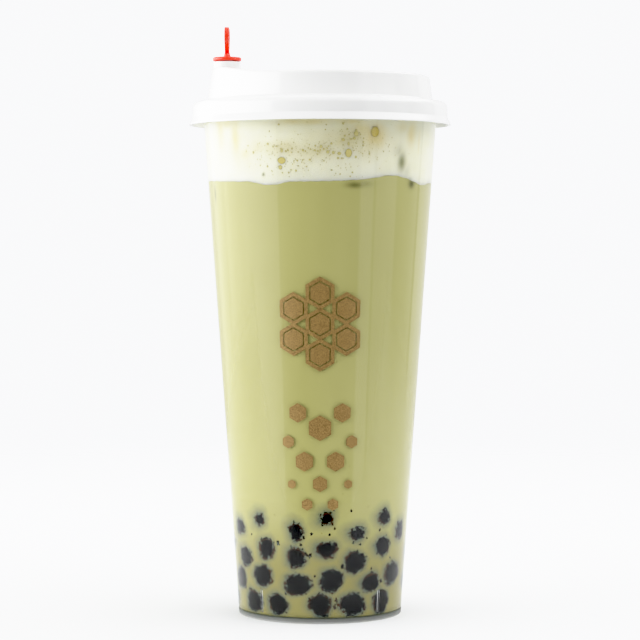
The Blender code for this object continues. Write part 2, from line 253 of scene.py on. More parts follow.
def split(material, place):
    """The X, Y and Z of a place."""
    return add_node(material, "SeparateXYZ", {"Vector": place}).outputs


def swells(material, place, scale, detail, roughness=0.5):
    """Soft noise from 0 to 1, with about so many swells to the metre."""
    return add_node(material, "TexNoise",
                    {"Vector": place, "Scale": scale, "Detail": detail, "Roughness": roughness})


def mapped(material, value, low, high, at_low, at_high, **settings):
    """Carry a value between two limits over to a new range."""
    return add_node(material, "MapRange", {0: value, 1: low, 2: high, 3: at_low, 4: at_high}, **settings)


def eased(material, value, low, high, at_low, at_high):
    """Carry a value over to a new range with a soft start and end."""
    return mapped(material, value, low, high, at_low, at_high, interpolation_type="SMOOTHSTEP")


def calculate(material, operation, *values):
    """One step of arithmetic."""
    return add_node(material, "Math", dict(enumerate(values)), operation=operation)


def ramp(material, value, stops):
    """A colour for a value from 0 to 1, by stops of (value, colour)."""
    node = add_node(material, "ValToRGB", {"Fac": value})
    elements = node.color_ramp.elements
    elements.remove(elements[1])
    elements[0].position, elements[0].color = stops[0]
    for position, tone in stops[1:]:
        elements.new(position).color = tone
    return node


def bump(material, height, strength, distance):
    """A fine relief of a height field, in metres."""
    return add_node(material, "Bump", {"Height": height, "Strength": strength, "Distance": distance})


def shader_mix(material, share, first, second):
    """A share of the second shader over the first."""
    return add_node(material, "MixShader", {0: share, 1: first, 2: second})


# Clear polypropylene, moulded against polished steel: sharp reflections, a faint ripple in them, and a slight
# haze. Light and the colours behind it come through almost untinted.
clear_plastic = new_material("clear_polypropylene_moulded")
place = own_place(clear_plastic)
clear_shader = add_node(clear_plastic, "BsdfPrincipled", {
    "Base Color": colour("FAFCFB"),
    "Roughness": 0.03,
    "IOR": 1.49,
    "Transmission Weight": 1.0,
    "Normal": bump(clear_plastic, swells(clear_plastic, place, 55.0, 1.0), 0.012, 0.0004),
})
lamp_light = add_node(clear_plastic, "BsdfTransparent", {"Color": colour("F8FAF9")})
ray = add_node(clear_plastic, "LightPath").outputs
lets_light_in = calculate(clear_plastic, "MAXIMUM", ray["Is Shadow Ray"], ray["Is Diffuse Ray"])
# The thick foot ring is greyer than the thin wall, and darker where its corner meets the floor of the cup, a
# painted shade.
height = split(clear_plastic, place)["Z"]
haze_share = eased(clear_plastic, height, 0.0022, 0.0027, 0.7, 0.0)
ring_haze_and_shade_stops = ((0.08, "BDBDBB"), (0.25, "8C8D8C"), (0.5, "878A86"), (0.72, "545848"))
ring_haze_and_shade_tone = ramp(clear_plastic, mapped(clear_plastic, height, 0.0, 0.003, 0.0, 1.0),
                 [(share, colour(tone)) for share, tone in ring_haze_and_shade_stops])
ring_haze_and_shade = add_node(clear_plastic, "BsdfDiffuse", {"Color": ring_haze_and_shade_tone, "Roughness": 0.3})
hazed_shader = shader_mix(clear_plastic, haze_share, clear_shader, ring_haze_and_shade)
clear_mix = shader_mix(clear_plastic, lets_light_in, hazed_shader, lamp_light)
add_node(clear_plastic, "OutputMaterial", {"Surface": clear_mix})

# Corners of the outside and of the lip, as radius, height and rounding, from the middle of the foot up.
under_lip = LIP_TOP - LIP_THICKNESS
foot_inside = FOOT_RADIUS - 0.4 - FOOT_RING_WIDTH
cup_corners = [
    (0, FOOT_RECESS, 0),
    (foot_inside - 0.8, FOOT_RECESS, 0.4),
    (foot_inside, 0, 0.3),
    (FOOT_RADIUS - 0.1, 0, 0.5),
    (outer_radius(SHOULDER_HEIGHT), SHOULDER_HEIGHT, 1.5),
    (outer_radius(under_lip), under_lip, 0.5),
    (LIP_RADIUS, under_lip, 0.45),
    (LIP_RADIUS, LIP_TOP, 0.6),
    (inner_radius(LIP_TOP), LIP_TOP, 0.6),
    (inner_radius(LIP_TOP - 2), LIP_TOP - 2, 0),
]
inner_wall = [(inner_radius(height), height) for height in INNER_HEIGHTS] + floor_fillet(0)
cup_outline = rounded(cup_corners, steps=5) + inner_wall + [(FLOOR_RING, FLOOR_TOP), (0, FLOOR_TOP)]
cup = on_lathe("clear_cup", cup_outline, CUP_SIDES)
for quarter in range(4):
    bpy.ops.object.select_all(action="DESELECT")
    rib_bottom = FLOOR_TOP - RIB_SUNK
    rib_middle = (rib_bottom + RIB_HEIGHT) / 2
    rib_depth = RIB_PROUD + RIB_SUNK
    bpy.ops.mesh.primitive_cube_add(size=MM, location=(0, 0, rib_middle * MM),
                                    scale=(RIB_WIDTH, rib_depth, RIB_HEIGHT - rib_bottom))
    bpy.ops.object.transform_apply(location=True, rotation=False, scale=True)
    rib = bpy.context.active_object
    pick(rib, lambda spot: spot.y > 0)
    bpy.ops.mesh.bevel(offset=RIB_ROUNDING * MM, segments=3, affect="EDGES")
    bpy.ops.object.mode_set(mode="OBJECT")
    for vertex in rib.data.vertices:
        wall = inner_radius(max(RIB_STRAIGHT_BELOW, vertex.co.z / MM))
        out = (wall + rib_depth / 2 - RIB_PROUD) * MM - vertex.co.y
        vertex.co = on_wall(math.radians(45 + 90 * quarter), out, vertex.co.x, vertex.co.z)
    bpy.ops.object.mode_set(mode="EDIT")
    face_outward()
    combine(cup, rib, "UNION")
cover(cup, clear_plastic, 30)
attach(cup, "root")
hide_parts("cup")


# The print: copper ink, screen-printed on the outside of the wall. It is a plain pattern of hexagons, a large
# cluster of seven with a fine line inside each, and small ones in a column below it.
INK_PROUD = 0.05
INK_SUNK = 0.02
HEXAGON_FLAT = 0.866
LARGE_HEXAGON = 5.9
LARGE_SPACING = 1.07
MEDALLION_HEIGHT = 107.6
# The inner and outer edge of the fine line in a large hexagon, as shares of its radius.
FINE_LINE = (0.66, 0.74)
# The small ones: how far across from the middle, height and radius.
SMALL_HEXAGONS = (
    (-8.0, 76.0, 3.5), (8.0, 76.0, 3.5), (0, 70.6, 4.6), (-11.5, 65.6, 2.4), (11.5, 65.6, 2.4),
    (-5.6, 58.6, 3.6), (5.6, 58.6, 3.6), (0, 50.6, 2.9), (-10.2, 50.4, 1.7), (10.2, 50.4, 1.7),
    (-4.6, 43.2, 2.2), (4.6, 43.2, 2.2),
)


def surface(material, inputs):
    """Give a material one principled surface."""
    add_node(material, "OutputMaterial", {"Surface": add_node(material, "BsdfPrincipled", inputs)})


def join(pieces):
    """Join pieces into the first of them."""
    select_only(*pieces)
    bpy.ops.object.join()


# Copper ink: metal flakes in a matt binder, warm brown, with a fine sparkle.
copper_ink = new_material("copper_ink_screen_printed")
flakes = swells(copper_ink, own_place(copper_ink), 2600.0, 2.0)
ink_tint = ramp(copper_ink, flakes, ((0.35, colour("7E663F")), (0.68, colour("A88A58"))))
surface(copper_ink, {"Base Color": ink_tint, "Metallic": 0.3, "Roughness": 0.5})


def hexagon_on_wall(across, height, radius, hole=0):
    """A hexagon of ink, or a hexagonal ring when it has a hole, on the outside of the cup at its front."""
    bpy.ops.object.select_all(action="DESELECT")
    bpy.ops.mesh.primitive_circle_add(vertices=6, radius=radius, fill_type="NGON")
    tile = bpy.context.active_object
    edit("FACE")
    if hole > 0:
        bpy.ops.mesh.inset(thickness=(radius - hole) * HEXAGON_FLAT)
        bpy.ops.mesh.delete(type="FACE")
    else:
        bpy.ops.mesh.poke()
    bpy.ops.mesh.select_all(action="SELECT")
    bpy.ops.mesh.subdivide(number_cuts=4)
    bpy.ops.mesh.extrude_region_move(TRANSFORM_OT_translate={"value": (0, 0, 1)})
    bpy.ops.object.mode_set(mode="OBJECT")
    for vertex in tile.data.vertices:
        level = height + vertex.co.y
        turn = (across + vertex.co.x) / outer_radius(height)
        lift = outer_radius(level) + (INK_PROUD if vertex.co.z > 0.5 else -INK_SUNK)
        vertex.co = on_wall(turn, lift, 0, level) * MM
    bpy.ops.object.mode_set(mode="EDIT")
    face_outward()
    tile.data.materials.append(copper_ink)
    return tile


ink_tiles = []
for number in range(7):
    turn = math.radians(60 * number + 30)
    step = LARGE_HEXAGON * 2 * HEXAGON_FLAT * LARGE_SPACING if number < 6 else 0
    across = step * math.cos(turn)
    height = MEDALLION_HEIGHT + step * math.sin(turn)
    ink_tiles.append(hexagon_on_wall(across, height, LARGE_HEXAGON, LARGE_HEXAGON * FINE_LINE[1]))
    ink_tiles.append(hexagon_on_wall(across, height, LARGE_HEXAGON * FINE_LINE[0]))
for across, height, radius in SMALL_HEXAGONS:
    ink_tiles.append(hexagon_on_wall(across, height, radius))
join(ink_tiles)
print_piece = bpy.context.active_object
print_piece.name = "copper_print"
print_piece.data.name = "copper_print"
shade_round(print_piece, 30)
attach(print_piece, "root")


# The pearls: cooked tapioca balls about 10 mm across, soft, sticky and nearly black, with brown skins.
# They sink to the foot of the cup and lie in uneven rows, pressed flat where they meet the clear wall.
PEARL_RADIUS = 5.3
CORE_TOP = 36.5
REACH_INTO_WALL = 0.15
FILM_DEPTH = 0.35
ABOVE_FLOOR = FLOOR_TOP + 0.05
# What the mark past_flat says, in mm, off a flat: well inside one, on a ball's far side, and clear of all.
WELL_INSIDE = -5.0
FAR_SIDE = 3.0
CLEAR_OF_ALL = 8.0
# The halo of thin milk round a flat: its width, the flat's radius below which it grows, by how much, and how
# far it leans to one side as a painted shade, and which side.
HALO = 2.3
FAINT_TOUCH = 4.2
FAINT_TOUCH_HALO = 1.6
HALO_SHADE_LEAN = 0.3
SHADE_LEAN_SIDE = math.radians(160)
# The clearance round the cup's ribs: how far off them, over how many half widths of a rib it fades out, and
# between which heights it starts above the floor and ends above the rib.
RIB_CLEARANCE = 0.12
RIB_SPREAD = 1.5
CLEAR_FROM = (3.2, 4.4)
CLEAR_TO = (0.1, 0.6)
NO_PULL = 9
TOP_SPREAD = 22.5
TOP_TURN = math.radians(137.5)
# A level view for spots given as pixels of the photo: how far its eye is from the cup's axis and how high, in
# mm, its focal length in pixels, and the column and row straight ahead of it.
VIEW_DISTANCE = 831.7
VIEW_HEIGHT = 141.5
VIEW_FOCAL = 2254
VIEW_COLUMN = 320
VIEW_ROW = 227.7
VIEW_ROUNDS = 20
PEARL_WALL_SLOPE = 0.0625


def pearl_wall(height):
    """The radius of the inner wall near the pearls at a height, as a plain cone."""
    return FOOT_RADIUS - LOWER_WALL + PEARL_WALL_SLOPE * height


def seen_at(column, row, wall=outer_radius):
    """The angle and height, to a tenth, of the spot on the cup's wall that the photo shows at a pixel."""
    near = 0
    for _ in range(VIEW_ROUNDS):
        scale = (VIEW_DISTANCE - near) / VIEW_FOCAL
        height = VIEW_HEIGHT - (row - VIEW_ROW) * scale
        turn = math.asin((column - VIEW_COLUMN) * scale / wall(height))
        near = wall(height) * math.cos(turn)
    return round(math.degrees(turn), 1), round(height, 1)


# Those that the front shows: angle from the front and height, in degrees and mm or from a given pixel, then
# the width and height of the flat in mm.
FRONT_PEARLS = (
    (*seen_at(242.8, 525.7, pearl_wall), 6.2, 5.3), (*seen_at(261, 519, pearl_wall), 4.6, 4.4),
    (*seen_at(326.5, 518.5, pearl_wall), 4.4, 4.4), (*seen_at(382.9, 516.7, pearl_wall), 5.6, 5.4),
    (*seen_at(397.1, 529.4, pearl_wall), 6.0, 6.2), (*seen_at(296.5, 532.4, pearl_wall), 4.8, 6.8),
    (*seen_at(357.1, 533.6, pearl_wall), 5.4, 5.0), (*seen_at(267.4, 548.8, pearl_wall), 6.9, 7.5),
    (*seen_at(248, 556, pearl_wall), 7.3, 6.5), (*seen_at(296.5, 557.9, pearl_wall), 6.7, 7.3),
    (*seen_at(326.2, 550, pearl_wall), 7.1, 5.7), (*seen_at(354.7, 562.7, pearl_wall), 8.0, 7.8),
    (*seen_at(381.3, 545.7, pearl_wall), 6.8, 6.8), (-86.0, 26.2, 7.4, 5.0), (88.0, 23.7, 7.4, 6.6),
    (*seen_at(243.8, 576.6, pearl_wall), 8.6, 8.0), (*seen_at(263.8, 576, pearl_wall), 8.6, 7.9),
    (*seen_at(297.7, 585.1, pearl_wall), 9.4, 7.8), (*seen_at(331, 581.5, pearl_wall), 8.4, 8.0),
    (*seen_at(369.8, 582.7, pearl_wall), 7.4, 6.8), (58.6, 16.6, 9.4, 8.2), (86.0, 12.6, 8.0, 6.5),
    (*seen_at(255.9, 600.3, pearl_wall), 8.5, 7.9), (*seen_at(278.3, 604.5, pearl_wall), 7.5, 7.5),
    (*seen_at(320.7, 606.3, pearl_wall), 8.5, 7.8), (*seen_at(352.2, 605.1, pearl_wall), 9.8, 8.4),
    (*seen_at(379.5, 601.5, pearl_wall), 8.3, 8.2), (-84.0, 6.4, 7.4, 6.5),
)
# Rows at the back: height, first and last angle, and how many. Others lie on top, away from the wall.
BACK_ROWS = ((7, 101, 252, 6), (16, 116, 266, 6), (25, 103, 243, 5), (33.5, 118, 258, 5))
TOP_PEARLS = 7


def outline_share(lumps, turn):
    """How far a ball's lumpy outline stands out or in at a turn round its own axis."""
    share = np.ones_like(turn)
    for waves, depth, shift in lumps:
        share = share + depth * np.cos(waves * turn + shift)
    return share


# One seeded draw serves the small differences between the balls and between the bubbles.
draw = random.Random(11)
pearl_places = []
for angle, height, width, tall in FRONT_PEARLS:
    flat = math.sqrt(width * tall)
    sink = math.sqrt(max(1.0, PEARL_RADIUS ** 2 - (flat / 2) ** 2))
    pearl_places.append((angle, height, sink, width / flat, tall / flat))
for height, first, last, count in BACK_ROWS:
    for number in range(count):
        angle = first + (last - first) * number / (count - 1) + draw.uniform(-3, 3)
        row_height = height + draw.uniform(-1.2, 1.2)
        pearl_places.append((angle, row_height, PEARL_RADIUS * draw.uniform(0.5, 0.8), 1.0, 1.0))
# Each ball's lumps, as how many there are round it, how deep they are, and where they start.
LUMP_DEPTHS = ((2, 0.055), (3, 0.05), (4, 0.035), (7, 0.03))
pearl_lumps = []
for _ in pearl_places:
    lumps = []
    for waves, depth in LUMP_DEPTHS:
        lumps.append((waves, depth * draw.uniform(0.5, 1.3), draw.uniform(0, math.tau)))
    pearl_lumps.append(lumps)


def read_points(piece):
    """A piece's vertices in mm."""
    points = np.empty(len(piece.data.vertices) * 3)
    piece.data.vertices.foreach_get("co", points)
    return points.reshape(-1, 3) / MM


def set_points(piece, points):
    """Put a piece's vertices at these points in mm."""
    piece.data.vertices.foreach_set("co", (points * MM).ravel())
    piece.data.update()


def mark(piece, **marks):
    """Store numbers under names that the material reads: one for each vertex, or one for all."""
    for name, values in marks.items():
        attribute = piece.data.attributes.new(name, "FLOAT", "POINT")
        attribute.data.foreach_set("value", (np.zeros(len(piece.data.vertices)) + values).astype(np.float32))


def new_ball(segments, rings):
    """A ball of radius 1 about the origin, and its points."""
    bpy.ops.object.select_all(action="DESELECT")
    bpy.ops.mesh.primitive_uv_sphere_add(segments=segments, ring_count=rings, radius=1.0)
    return bpy.context.active_object, read_points(bpy.context.active_object) * MM


def flat_radius(sink):
    """The radius of the flat that a pearl presses on the wall."""
    return math.sqrt(PEARL_RADIUS ** 2 - sink ** 2)


def halo_width(sink, turn):
    """How far the blue-grey shade of thin milk spreads from a pearl's flat: wide round the ones that barely
    touch, and wider on the left, a painted shade of how the light falls there."""
    wide = HALO + FAINT_TOUCH_HALO * limited((FAINT_TOUCH - flat_radius(sink)) / 2.0)
    return wide * (1 + HALO_SHADE_LEAN * np.cos(turn - SHADE_LEAN_SIDE))


def wall_angle(points):
    """The angle of points from the front, in degrees, positive to the right."""
    return np.degrees(np.arctan2(points[..., 0], -points[..., 1]))


def turn_from(centre, angle):
    """The shorter way round from one angle to another, in degrees."""
    return (angle - centre + 180) % 360 - 180


def wall_radii(points):
    """The cup's inner radius at the height of each point."""
    return np.array([inner_radius(height) for height in points[:, 2]])


def pull_inside(points, limit):
    """Draw points towards the axis where they are farther out than a limit."""
    away = np.maximum(np.hypot(points[:, 0], points[:, 1]), 1e-6)
    points[:, :2] *= np.minimum(1.0, limit / away)[:, None]


def keep_off_ribs(points):
    """Pull points in where the cup's ribs stand, a little more than the ribs stand out."""
    around = wall_angle(points)
    for quarter in range(4):
        away = np.maximum(np.hypot(points[:, 0], points[:, 1]), 1e-6)
        along = np.radians(turn_from(45 + 90 * quarter, around)) * away
        share = np.clip(RIB_SPREAD - np.abs(along) / (RIB_WIDTH / 2), 0, 1)
        share *= np.clip((RIB_HEIGHT + CLEAR_TO[1] - points[:, 2]) / (CLEAR_TO[1] - CLEAR_TO[0]), 0, 1)
        share *= np.clip((points[:, 2] - CLEAR_FROM[0]) / (CLEAR_FROM[1] - CLEAR_FROM[0]), 0, 1)
        inward = (RIB_PROUD + RIB_CLEARANCE) * share - NO_PULL * (share == 0)
        pull_inside(points, wall_radii(points) - inward)


def keep_in_cup(points):
    """Hold points above the cup's floor, and no deeper in its wall than what fills it reaches."""
    points[:, 2] = np.maximum(points[:, 2], ABOVE_FLOOR)
    pull_inside(points, wall_radii(points) + REACH_INTO_WALL)


def roughened(points, seed, size, depth):
    """Points in mm moved in and out from their middle by soft noise of a size and a depth in mm."""
    middle = points.mean(0)
    moved = points.copy()
    for number, point in enumerate(points):
        swell = noise.noise(Vector(point) / size + Vector((seed * 7.1, seed * 3.3, 0)))
        outward = point - middle
        moved[number] += outward / (np.linalg.norm(outward) + 1e-9) * swell * depth
    return moved


def add_ball(ball, points, past_flat, halo):
    """Copy a ball with a mesh of its own, put its points in their places, and mark it."""
    made = ball.copy()
    made.data = ball.data.copy()
    bpy.context.scene.collection.objects.link(made)
    set_points(made, points)
    mark(made, past_flat=past_flat, halo=halo)
    pearl_balls.append(made)


fine_ball, fine_points = new_ball(56, 32)
plain_ball, plain_points = new_ball(32, 18)
pearl_balls = []
across = PEARL_RADIUS + FILM_DEPTH
for number, (angle, height, sink, wide, tall) in enumerate(pearl_places):
    ball, ball_points = (fine_ball, fine_points) if number < len(FRONT_PEARLS) else (plain_ball, plain_points)
    share = outline_share(pearl_lumps[number], np.arctan2(ball_points[:, 1], ball_points[:, 0]))
    side = ball_points[:, 0] * across * wide * share
    up = ball_points[:, 1] * across * tall * share
    out = inner_radius(height) - sink + ball_points[:, 2] * across
    points = on_wall(math.radians(angle), out, side, up + height)
    keep_in_cup(points)
    keep_off_ribs(points)
    reach = np.hypot(ball_points[:, 0], ball_points[:, 1]) * across - flat_radius(sink)
    reach = np.where(ball_points[:, 2] > 0, reach, FAR_SIDE)
    add_ball(ball, points, reach, halo_width(sink, np.arctan2(up, side)))
for number in range(TOP_PEARLS):
    out = TOP_SPREAD * math.sqrt((number + 0.4) / TOP_PEARLS)
    middle = on_wall(number * TOP_TURN, out, 0, CORE_TOP + draw.uniform(-1.5, 1.2))
    points = roughened(plain_points * PEARL_RADIUS + middle, seed=100 + number, size=2.2, depth=0.35)
    add_ball(plain_ball, points, past_flat=WELL_INSIDE, halo=1.0)
# Crumbs that broke off the soft balls and stuck to the wall: angle or given pixel, height and radius.
CRUMBS = (
    (*seen_at(277, 543), 0.7), (*seen_at(303, 538), 0.55), (*seen_at(337, 546), 0.55),
    (*seen_at(309, 556), 0.9), (-9.3, 25.4, 0.6), (*seen_at(343, 567), 0.7), (*seen_at(352, 511), 0.5),
    (*seen_at(333, 525), 0.4), (9.0, 41.3, 0.5), (6.4, 32.3, 0.35), (9.8, 34.4, 0.4), (1.5, 36.0, 0.45),
    (4.1, 3.6, 0.7), (9.7, 6.0, 0.8), (11.3, 8.6, 0.7), (46.5, 14.4, 0.8), (53.0, 14.7, 0.6),
    (*seen_at(300, 545), 0.5), (32.4, 30.6, 0.45), (-5.5, 32.6, 0.5), (22.2, 29.2, 0.7), (27.6, 28.4, 0.45),
    (-3.5, 17.3, 0.5), (-52.0, 31.2, 0.5), (-24.5, 10.8, 0.5), (36.9, 19.3, 0.5), (55.0, 22.4, 0.45),
    (43.0, 33.2, 0.6),
)
CRUMB_SUNK = 0.6
for number, (angle, height, radius) in enumerate(CRUMBS):
    out = inner_radius(height) + REACH_INTO_WALL - radius * CRUMB_SUNK
    drawn_out = np.array([1, 1, draw.uniform(0.8, 1.5)])
    points = roughened(plain_points * radius * drawn_out, seed=200 + number, size=0.5, depth=radius * 0.8)
    points += on_wall(math.radians(angle), out, 0, height)
    keep_in_cup(points)
    add_ball(plain_ball, points, past_flat=-0.5, halo=0.5)
bpy.data.objects.remove(fine_ball)
bpy.data.objects.remove(plain_ball)
join(pearl_balls)
pearls = bpy.context.active_object
pearls.name = "tapioca_pearls"
pearls.data.name = "tapioca_pearls"


def attribute(material, name):
    """A mark on the piece's vertices."""
    return add_node(material, "Attribute", attribute_name=name).outputs["Fac"]


def blend(material, share, first, second):
    """A share of the second colour over the first."""
    return add_node(material, "Mix", {0: share, 6: first, 7: second}, data_type="RGBA").outputs[2]


# How the blue-grey shade fades from a pearl's edge to the rim of its halo.
HALO_FADE = ((0.0, 0.78), (0.1, 0.64), (0.25, 0.46), (0.5, 0.27), (0.75, 0.14), (1.0, 0.0))


def under_milk(material, bare, milk):
    """Blend what lies on the wall into milk past a pearl's torn edge, through a shade of thin milk."""
    torn = swells(material, own_place(material), 850.0, 3.0, 0.7)
    ragged = mapped(material, torn, 0.36, 0.64, -0.88, 0.88, clamp=False)
    past_flat = attribute(material, "past_flat")
    bared = eased(material, calculate(material, "ADD", past_flat, ragged), -0.05, 0.1, 1.0, 0.0)
    soft_edge = calculate(material, "MULTIPLY_ADD", ragged, 0.3, past_flat)
    spread = calculate(material, "DIVIDE", soft_edge, attribute(material, "halo"))
    shade = ramp(material, spread, [(share, (strength,) * 3 + (1.0,)) for share, strength in HALO_FADE])
    return blend(material, bared, blend(material, shade, milk, colour("40535B")), bare)


def settled_milk(material, milk):
    """The milk turns browner and darker towards the cup's floor, where the balls' sugar settles."""
    low_share = eased(material, split(material, own_place(material))["Z"], 0.016, 0.045, 1.0, 0.0)
    return blend(material, low_share, milk, colour("8E8650"))


# Cooked tapioca, boiled with brown sugar: nearly black, browner at the torn rims where the skin is thin. It
# is seen through the film of milk on the wall.
tapioca = new_material("tapioca_boiled")
mottle = swells(tapioca, own_place(tapioca), 130.0, 3.0, 0.6)
near_rim = mapped(tapioca, attribute(tapioca, "past_flat"), -1.1, 0.3, -0.15, 0.3)
brownness = calculate(tapioca, "ADD", mottle, near_rim)
skin = ramp(tapioca, brownness, ((0.5, colour("09080A")), (0.85, colour("47301F"))))
seen_skin = under_milk(tapioca, skin, settled_milk(tapioca, colour("B1AC70")))
surface(tapioca, {"Base Color": seen_skin, "Roughness": 0.5, "Specular IOR Level": 0.0})
cover(pearls, tapioca, 60)
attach(pearls, "root")
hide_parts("pearls")


# The drink: matcha whisked into cold milk, opaque and yellow-green. It fills the cup round the pearls and up
# to the foam, and wets the wall all the way. Where a pearl lies just behind it, the thin milk is blue-grey.
DRINK_SIDES = 480
DRINK_TOP = 158.0
SEAM_HEIGHT = 44.6
DRINK_REACH = 0.1
FINE_RINGS_FROM = 150.0
# The wavy edge fades out at a height below it, and towards the middle third of the drink's top.
CALM_BELOW_EDGE = 148.0
CALM_MIDDLE = 0.3
AT_WALL = 0.97
# The fine unevenness of the edge: how high, and how many swells there are round the cup's radius.
EDGE_RIPPLES = ((0.25, 13.5), (0.12, 54.0))
TOP_RINGS = (0.9, 0.75, 0.55, 0.3)
# Rises and dips of the drink's edge under the foam: angle from the front, height and half width.
EDGE_SWELLS = (
    (39, 2.2, 9.0), (-26, -1.3, 6.0), (64, -1.0, 5.0), (-80, 0.7, 18.0), (118, 1.2, 16.0),
    (165, -0.9, 14.0), (-140, 1.0, 20.0), (20, 0.35, 6.0), (2, -0.15, 9.0),
)
# Soft dark spots where an ice cube or a lump of tea leans on the wall: angle, height, half width, half
# height and depth.
DARK_SPOTS = (
    (17.5, 156.6, 3.2, 1.1, 0.75), (22.5, 157.0, 3.5, 1.3, 0.35), (53.5, 157.4, 1.8, 1.6, 0.95),
    (-69.0, 154.0, 0.6, 2.8, 0.95),
)


def edge_height(angle):
    """The height of the drink's edge, at an angle from the front."""
    height = DRINK_TOP
    for centre, rise, half_width in EDGE_SWELLS:
        height += rise * math.exp(-((turn_from(centre, angle) / half_width) ** 2) / 2)
    facing = Vector((math.sin(math.radians(angle)), math.cos(math.radians(angle)), 0))
    for rise, count in EDGE_RIPPLES:
        height += rise * noise.noise(facing * count)
    return height


def follow_edge(point, calm_height, reach):
    """Lift a point with the wavy edge between drink and foam, less and less towards the calm height and the
    axis, and keep it at the wall."""
    radius = math.hypot(point[0], point[1])
    if radius == 0:
        return
    inward = min(1.0, radius / top_radius)
    share = limited((point[2] - calm_height) / (DRINK_TOP - calm_height))
    if abs(point[2] - DRINK_TOP) < 0.01:
        share *= max(0.0, (inward - CALM_MIDDLE) / (1 - CALM_MIDDLE)) ** 2
    point[2] += (edge_height(wall_angle(point)) - DRINK_TOP) * share
    if inward > AT_WALL:
        point[:2] *= (inner_radius(point[2]) + reach) / radius


def between(low, high, count):
    """Evenly spaced values from low to high."""
    return [low + (high - low) * number / (count - 1) for number in range(count)]


def smears(points, marks):
    """Strength at each point of soft oval marks on the wall, given by angle, height, half width, half height
    and strength."""
    total = np.zeros(len(points))
    for angle, height, half_width, half_height, strength in marks:
        along = np.radians(turn_from(angle, wall_angle(points))) * inner_radius(height)
        reach = (along / half_width) ** 2 + ((points[:, 2] - height) / half_height) ** 2
        total = np.maximum(total, strength * np.exp(-reach))
    return total


# Matcha in milk, opaque: an even yellow-green, faintly streaked, browner low down, with specks of tea.
matcha_milk = new_material("matcha_in_milk")
place = own_place(matcha_milk)
upright = add_node(matcha_milk, "Mapping", {"Vector": place, "Scale": (1.0, 1.0, 0.35)})
streaks = swells(matcha_milk, upright, 38.0, 4.0, 0.55)
drink_tint = ramp(matcha_milk, streaks, ((0.3, colour("AEA96C")), (0.7, colour("B4AF73"))))
speck_cells = add_node(matcha_milk, "TexVoronoi", {"Vector": place, "Scale": 260.0}).outputs
speck_size = calculate(matcha_milk, "MULTIPLY", speck_cells["Color"], 0.09)
speck_share = calculate(matcha_milk, "LESS_THAN", speck_cells["Distance"], speck_size)
low_specks = mapped(matcha_milk, split(matcha_milk, place)["Z"], 0.03, 0.09, 0.5, 0.0)
speck_mix = calculate(matcha_milk, "MULTIPLY", speck_share, low_specks)
specked = blend(matcha_milk, speck_mix, settled_milk(matcha_milk, drink_tint), colour("7A6A30"))
spotted = blend(matcha_milk, attribute(matcha_milk, "dark_spot"), specked, colour("4A4A22"))
seen_drink = under_milk(matcha_milk, colour("09080A"), spotted)
surface(matcha_milk, {"Base Color": seen_drink, "Roughness": 0.6, "Specular IOR Level": 0.05})

top_radius = inner_radius(DRINK_TOP) + DRINK_REACH
drink_rings = between(SEAM_HEIGHT, FINE_RINGS_FROM, 40) + between(FINE_RINGS_FROM + 0.5, DRINK_TOP, 16)
drink_outline = [(0, SEAM_HEIGHT), (FLOOR_RING, SEAM_HEIGHT)]
drink_outline += [(inner_radius(height) + DRINK_REACH, height) for height in drink_rings]
drink_top = [(top_radius * share, DRINK_TOP) for share in TOP_RINGS] + [(0, DRINK_TOP)]
drink = on_lathe("matcha_drink", drink_outline + drink_top, DRINK_SIDES)
points = read_points(drink)
for point in points:
    follow_edge(point, CALM_BELOW_EDGE, DRINK_REACH)
set_points(drink, points)
mark(drink, dark_spot=smears(points, DARK_SPOTS), past_flat=CLEAR_OF_ALL, halo=1.0)
cover(drink, matcha_milk, 40)
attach(drink, "root")
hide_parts("matcha")

# The same drink round the pearls. It is the liquid that the heap stands in, down to the cup's floor, and the
# marks on it say how near each point of the wall is to a pearl's flat.
low_floor = FLOOR_TOP - DRINK_REACH
low_rings = between(SEAM_HEIGHT, FLOOR_TOP + FLOOR_FILLET, 96)
low_outline = [(0, SEAM_HEIGHT), (FLOOR_RING, SEAM_HEIGHT)]
low_outline += [(inner_radius(height) + DRINK_REACH, height) for height in low_rings]
low_outline += floor_fillet(DRINK_REACH) + [(FLOOR_RING, low_floor), (0, low_floor)]
low_drink = on_lathe("matcha_round_pearls", low_outline, DRINK_SIDES)
points = read_points(low_drink)
keep_off_ribs(points)
past_flat = np.full(len(points), CLEAR_OF_ALL)
halo = np.ones(len(points))
for number, (angle, height, sink, wide, tall) in enumerate(pearl_places):
    facing = math.radians(angle)
    out = points[:, 0] * math.sin(facing) - points[:, 1] * math.cos(facing)
    side = (points[:, 0] * math.cos(facing) + points[:, 1] * math.sin(facing)) / wide
    up = (points[:, 2] - height) / tall
    turn = np.arctan2(up, side)
    reach = np.hypot(side, up) / outline_share(pearl_lumps[number], turn) - flat_radius(sink)
    nearer = (out > 0) & (reach / halo_width(sink, turn) < past_flat / halo)
    past_flat = np.where(nearer, reach, past_flat)
    halo = np.where(nearer, halo_width(sink, turn), halo)
set_points(low_drink, points)
mark(low_drink, dark_spot=0.0, past_flat=past_flat, halo=halo)
cover(low_drink, matcha_milk, 40)
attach(low_drink, "root")


# The foam: salted milk foam poured over the drink, pale cream, with trapped bubbles, and matcha stains and
# painted shade near its top. It clings to the wall and meets the drink along a wavy edge.
FOAM_TOP = 181.5
FOAM_SIDES = 480
FOAM_REACH = 0.1
CALM_ABOVE_EDGE = 168.0
FOAM_RINGS = (0.15, 0.3, 0.45, 0.6, 0.75, 0.88)
# The top of the foam: how far it sinks off the wall, how deep its dents are and how wide.
FOAM_SINK = 0.2
DENT_DEPTH = 0.6
DENT_WIDTH = 9.0
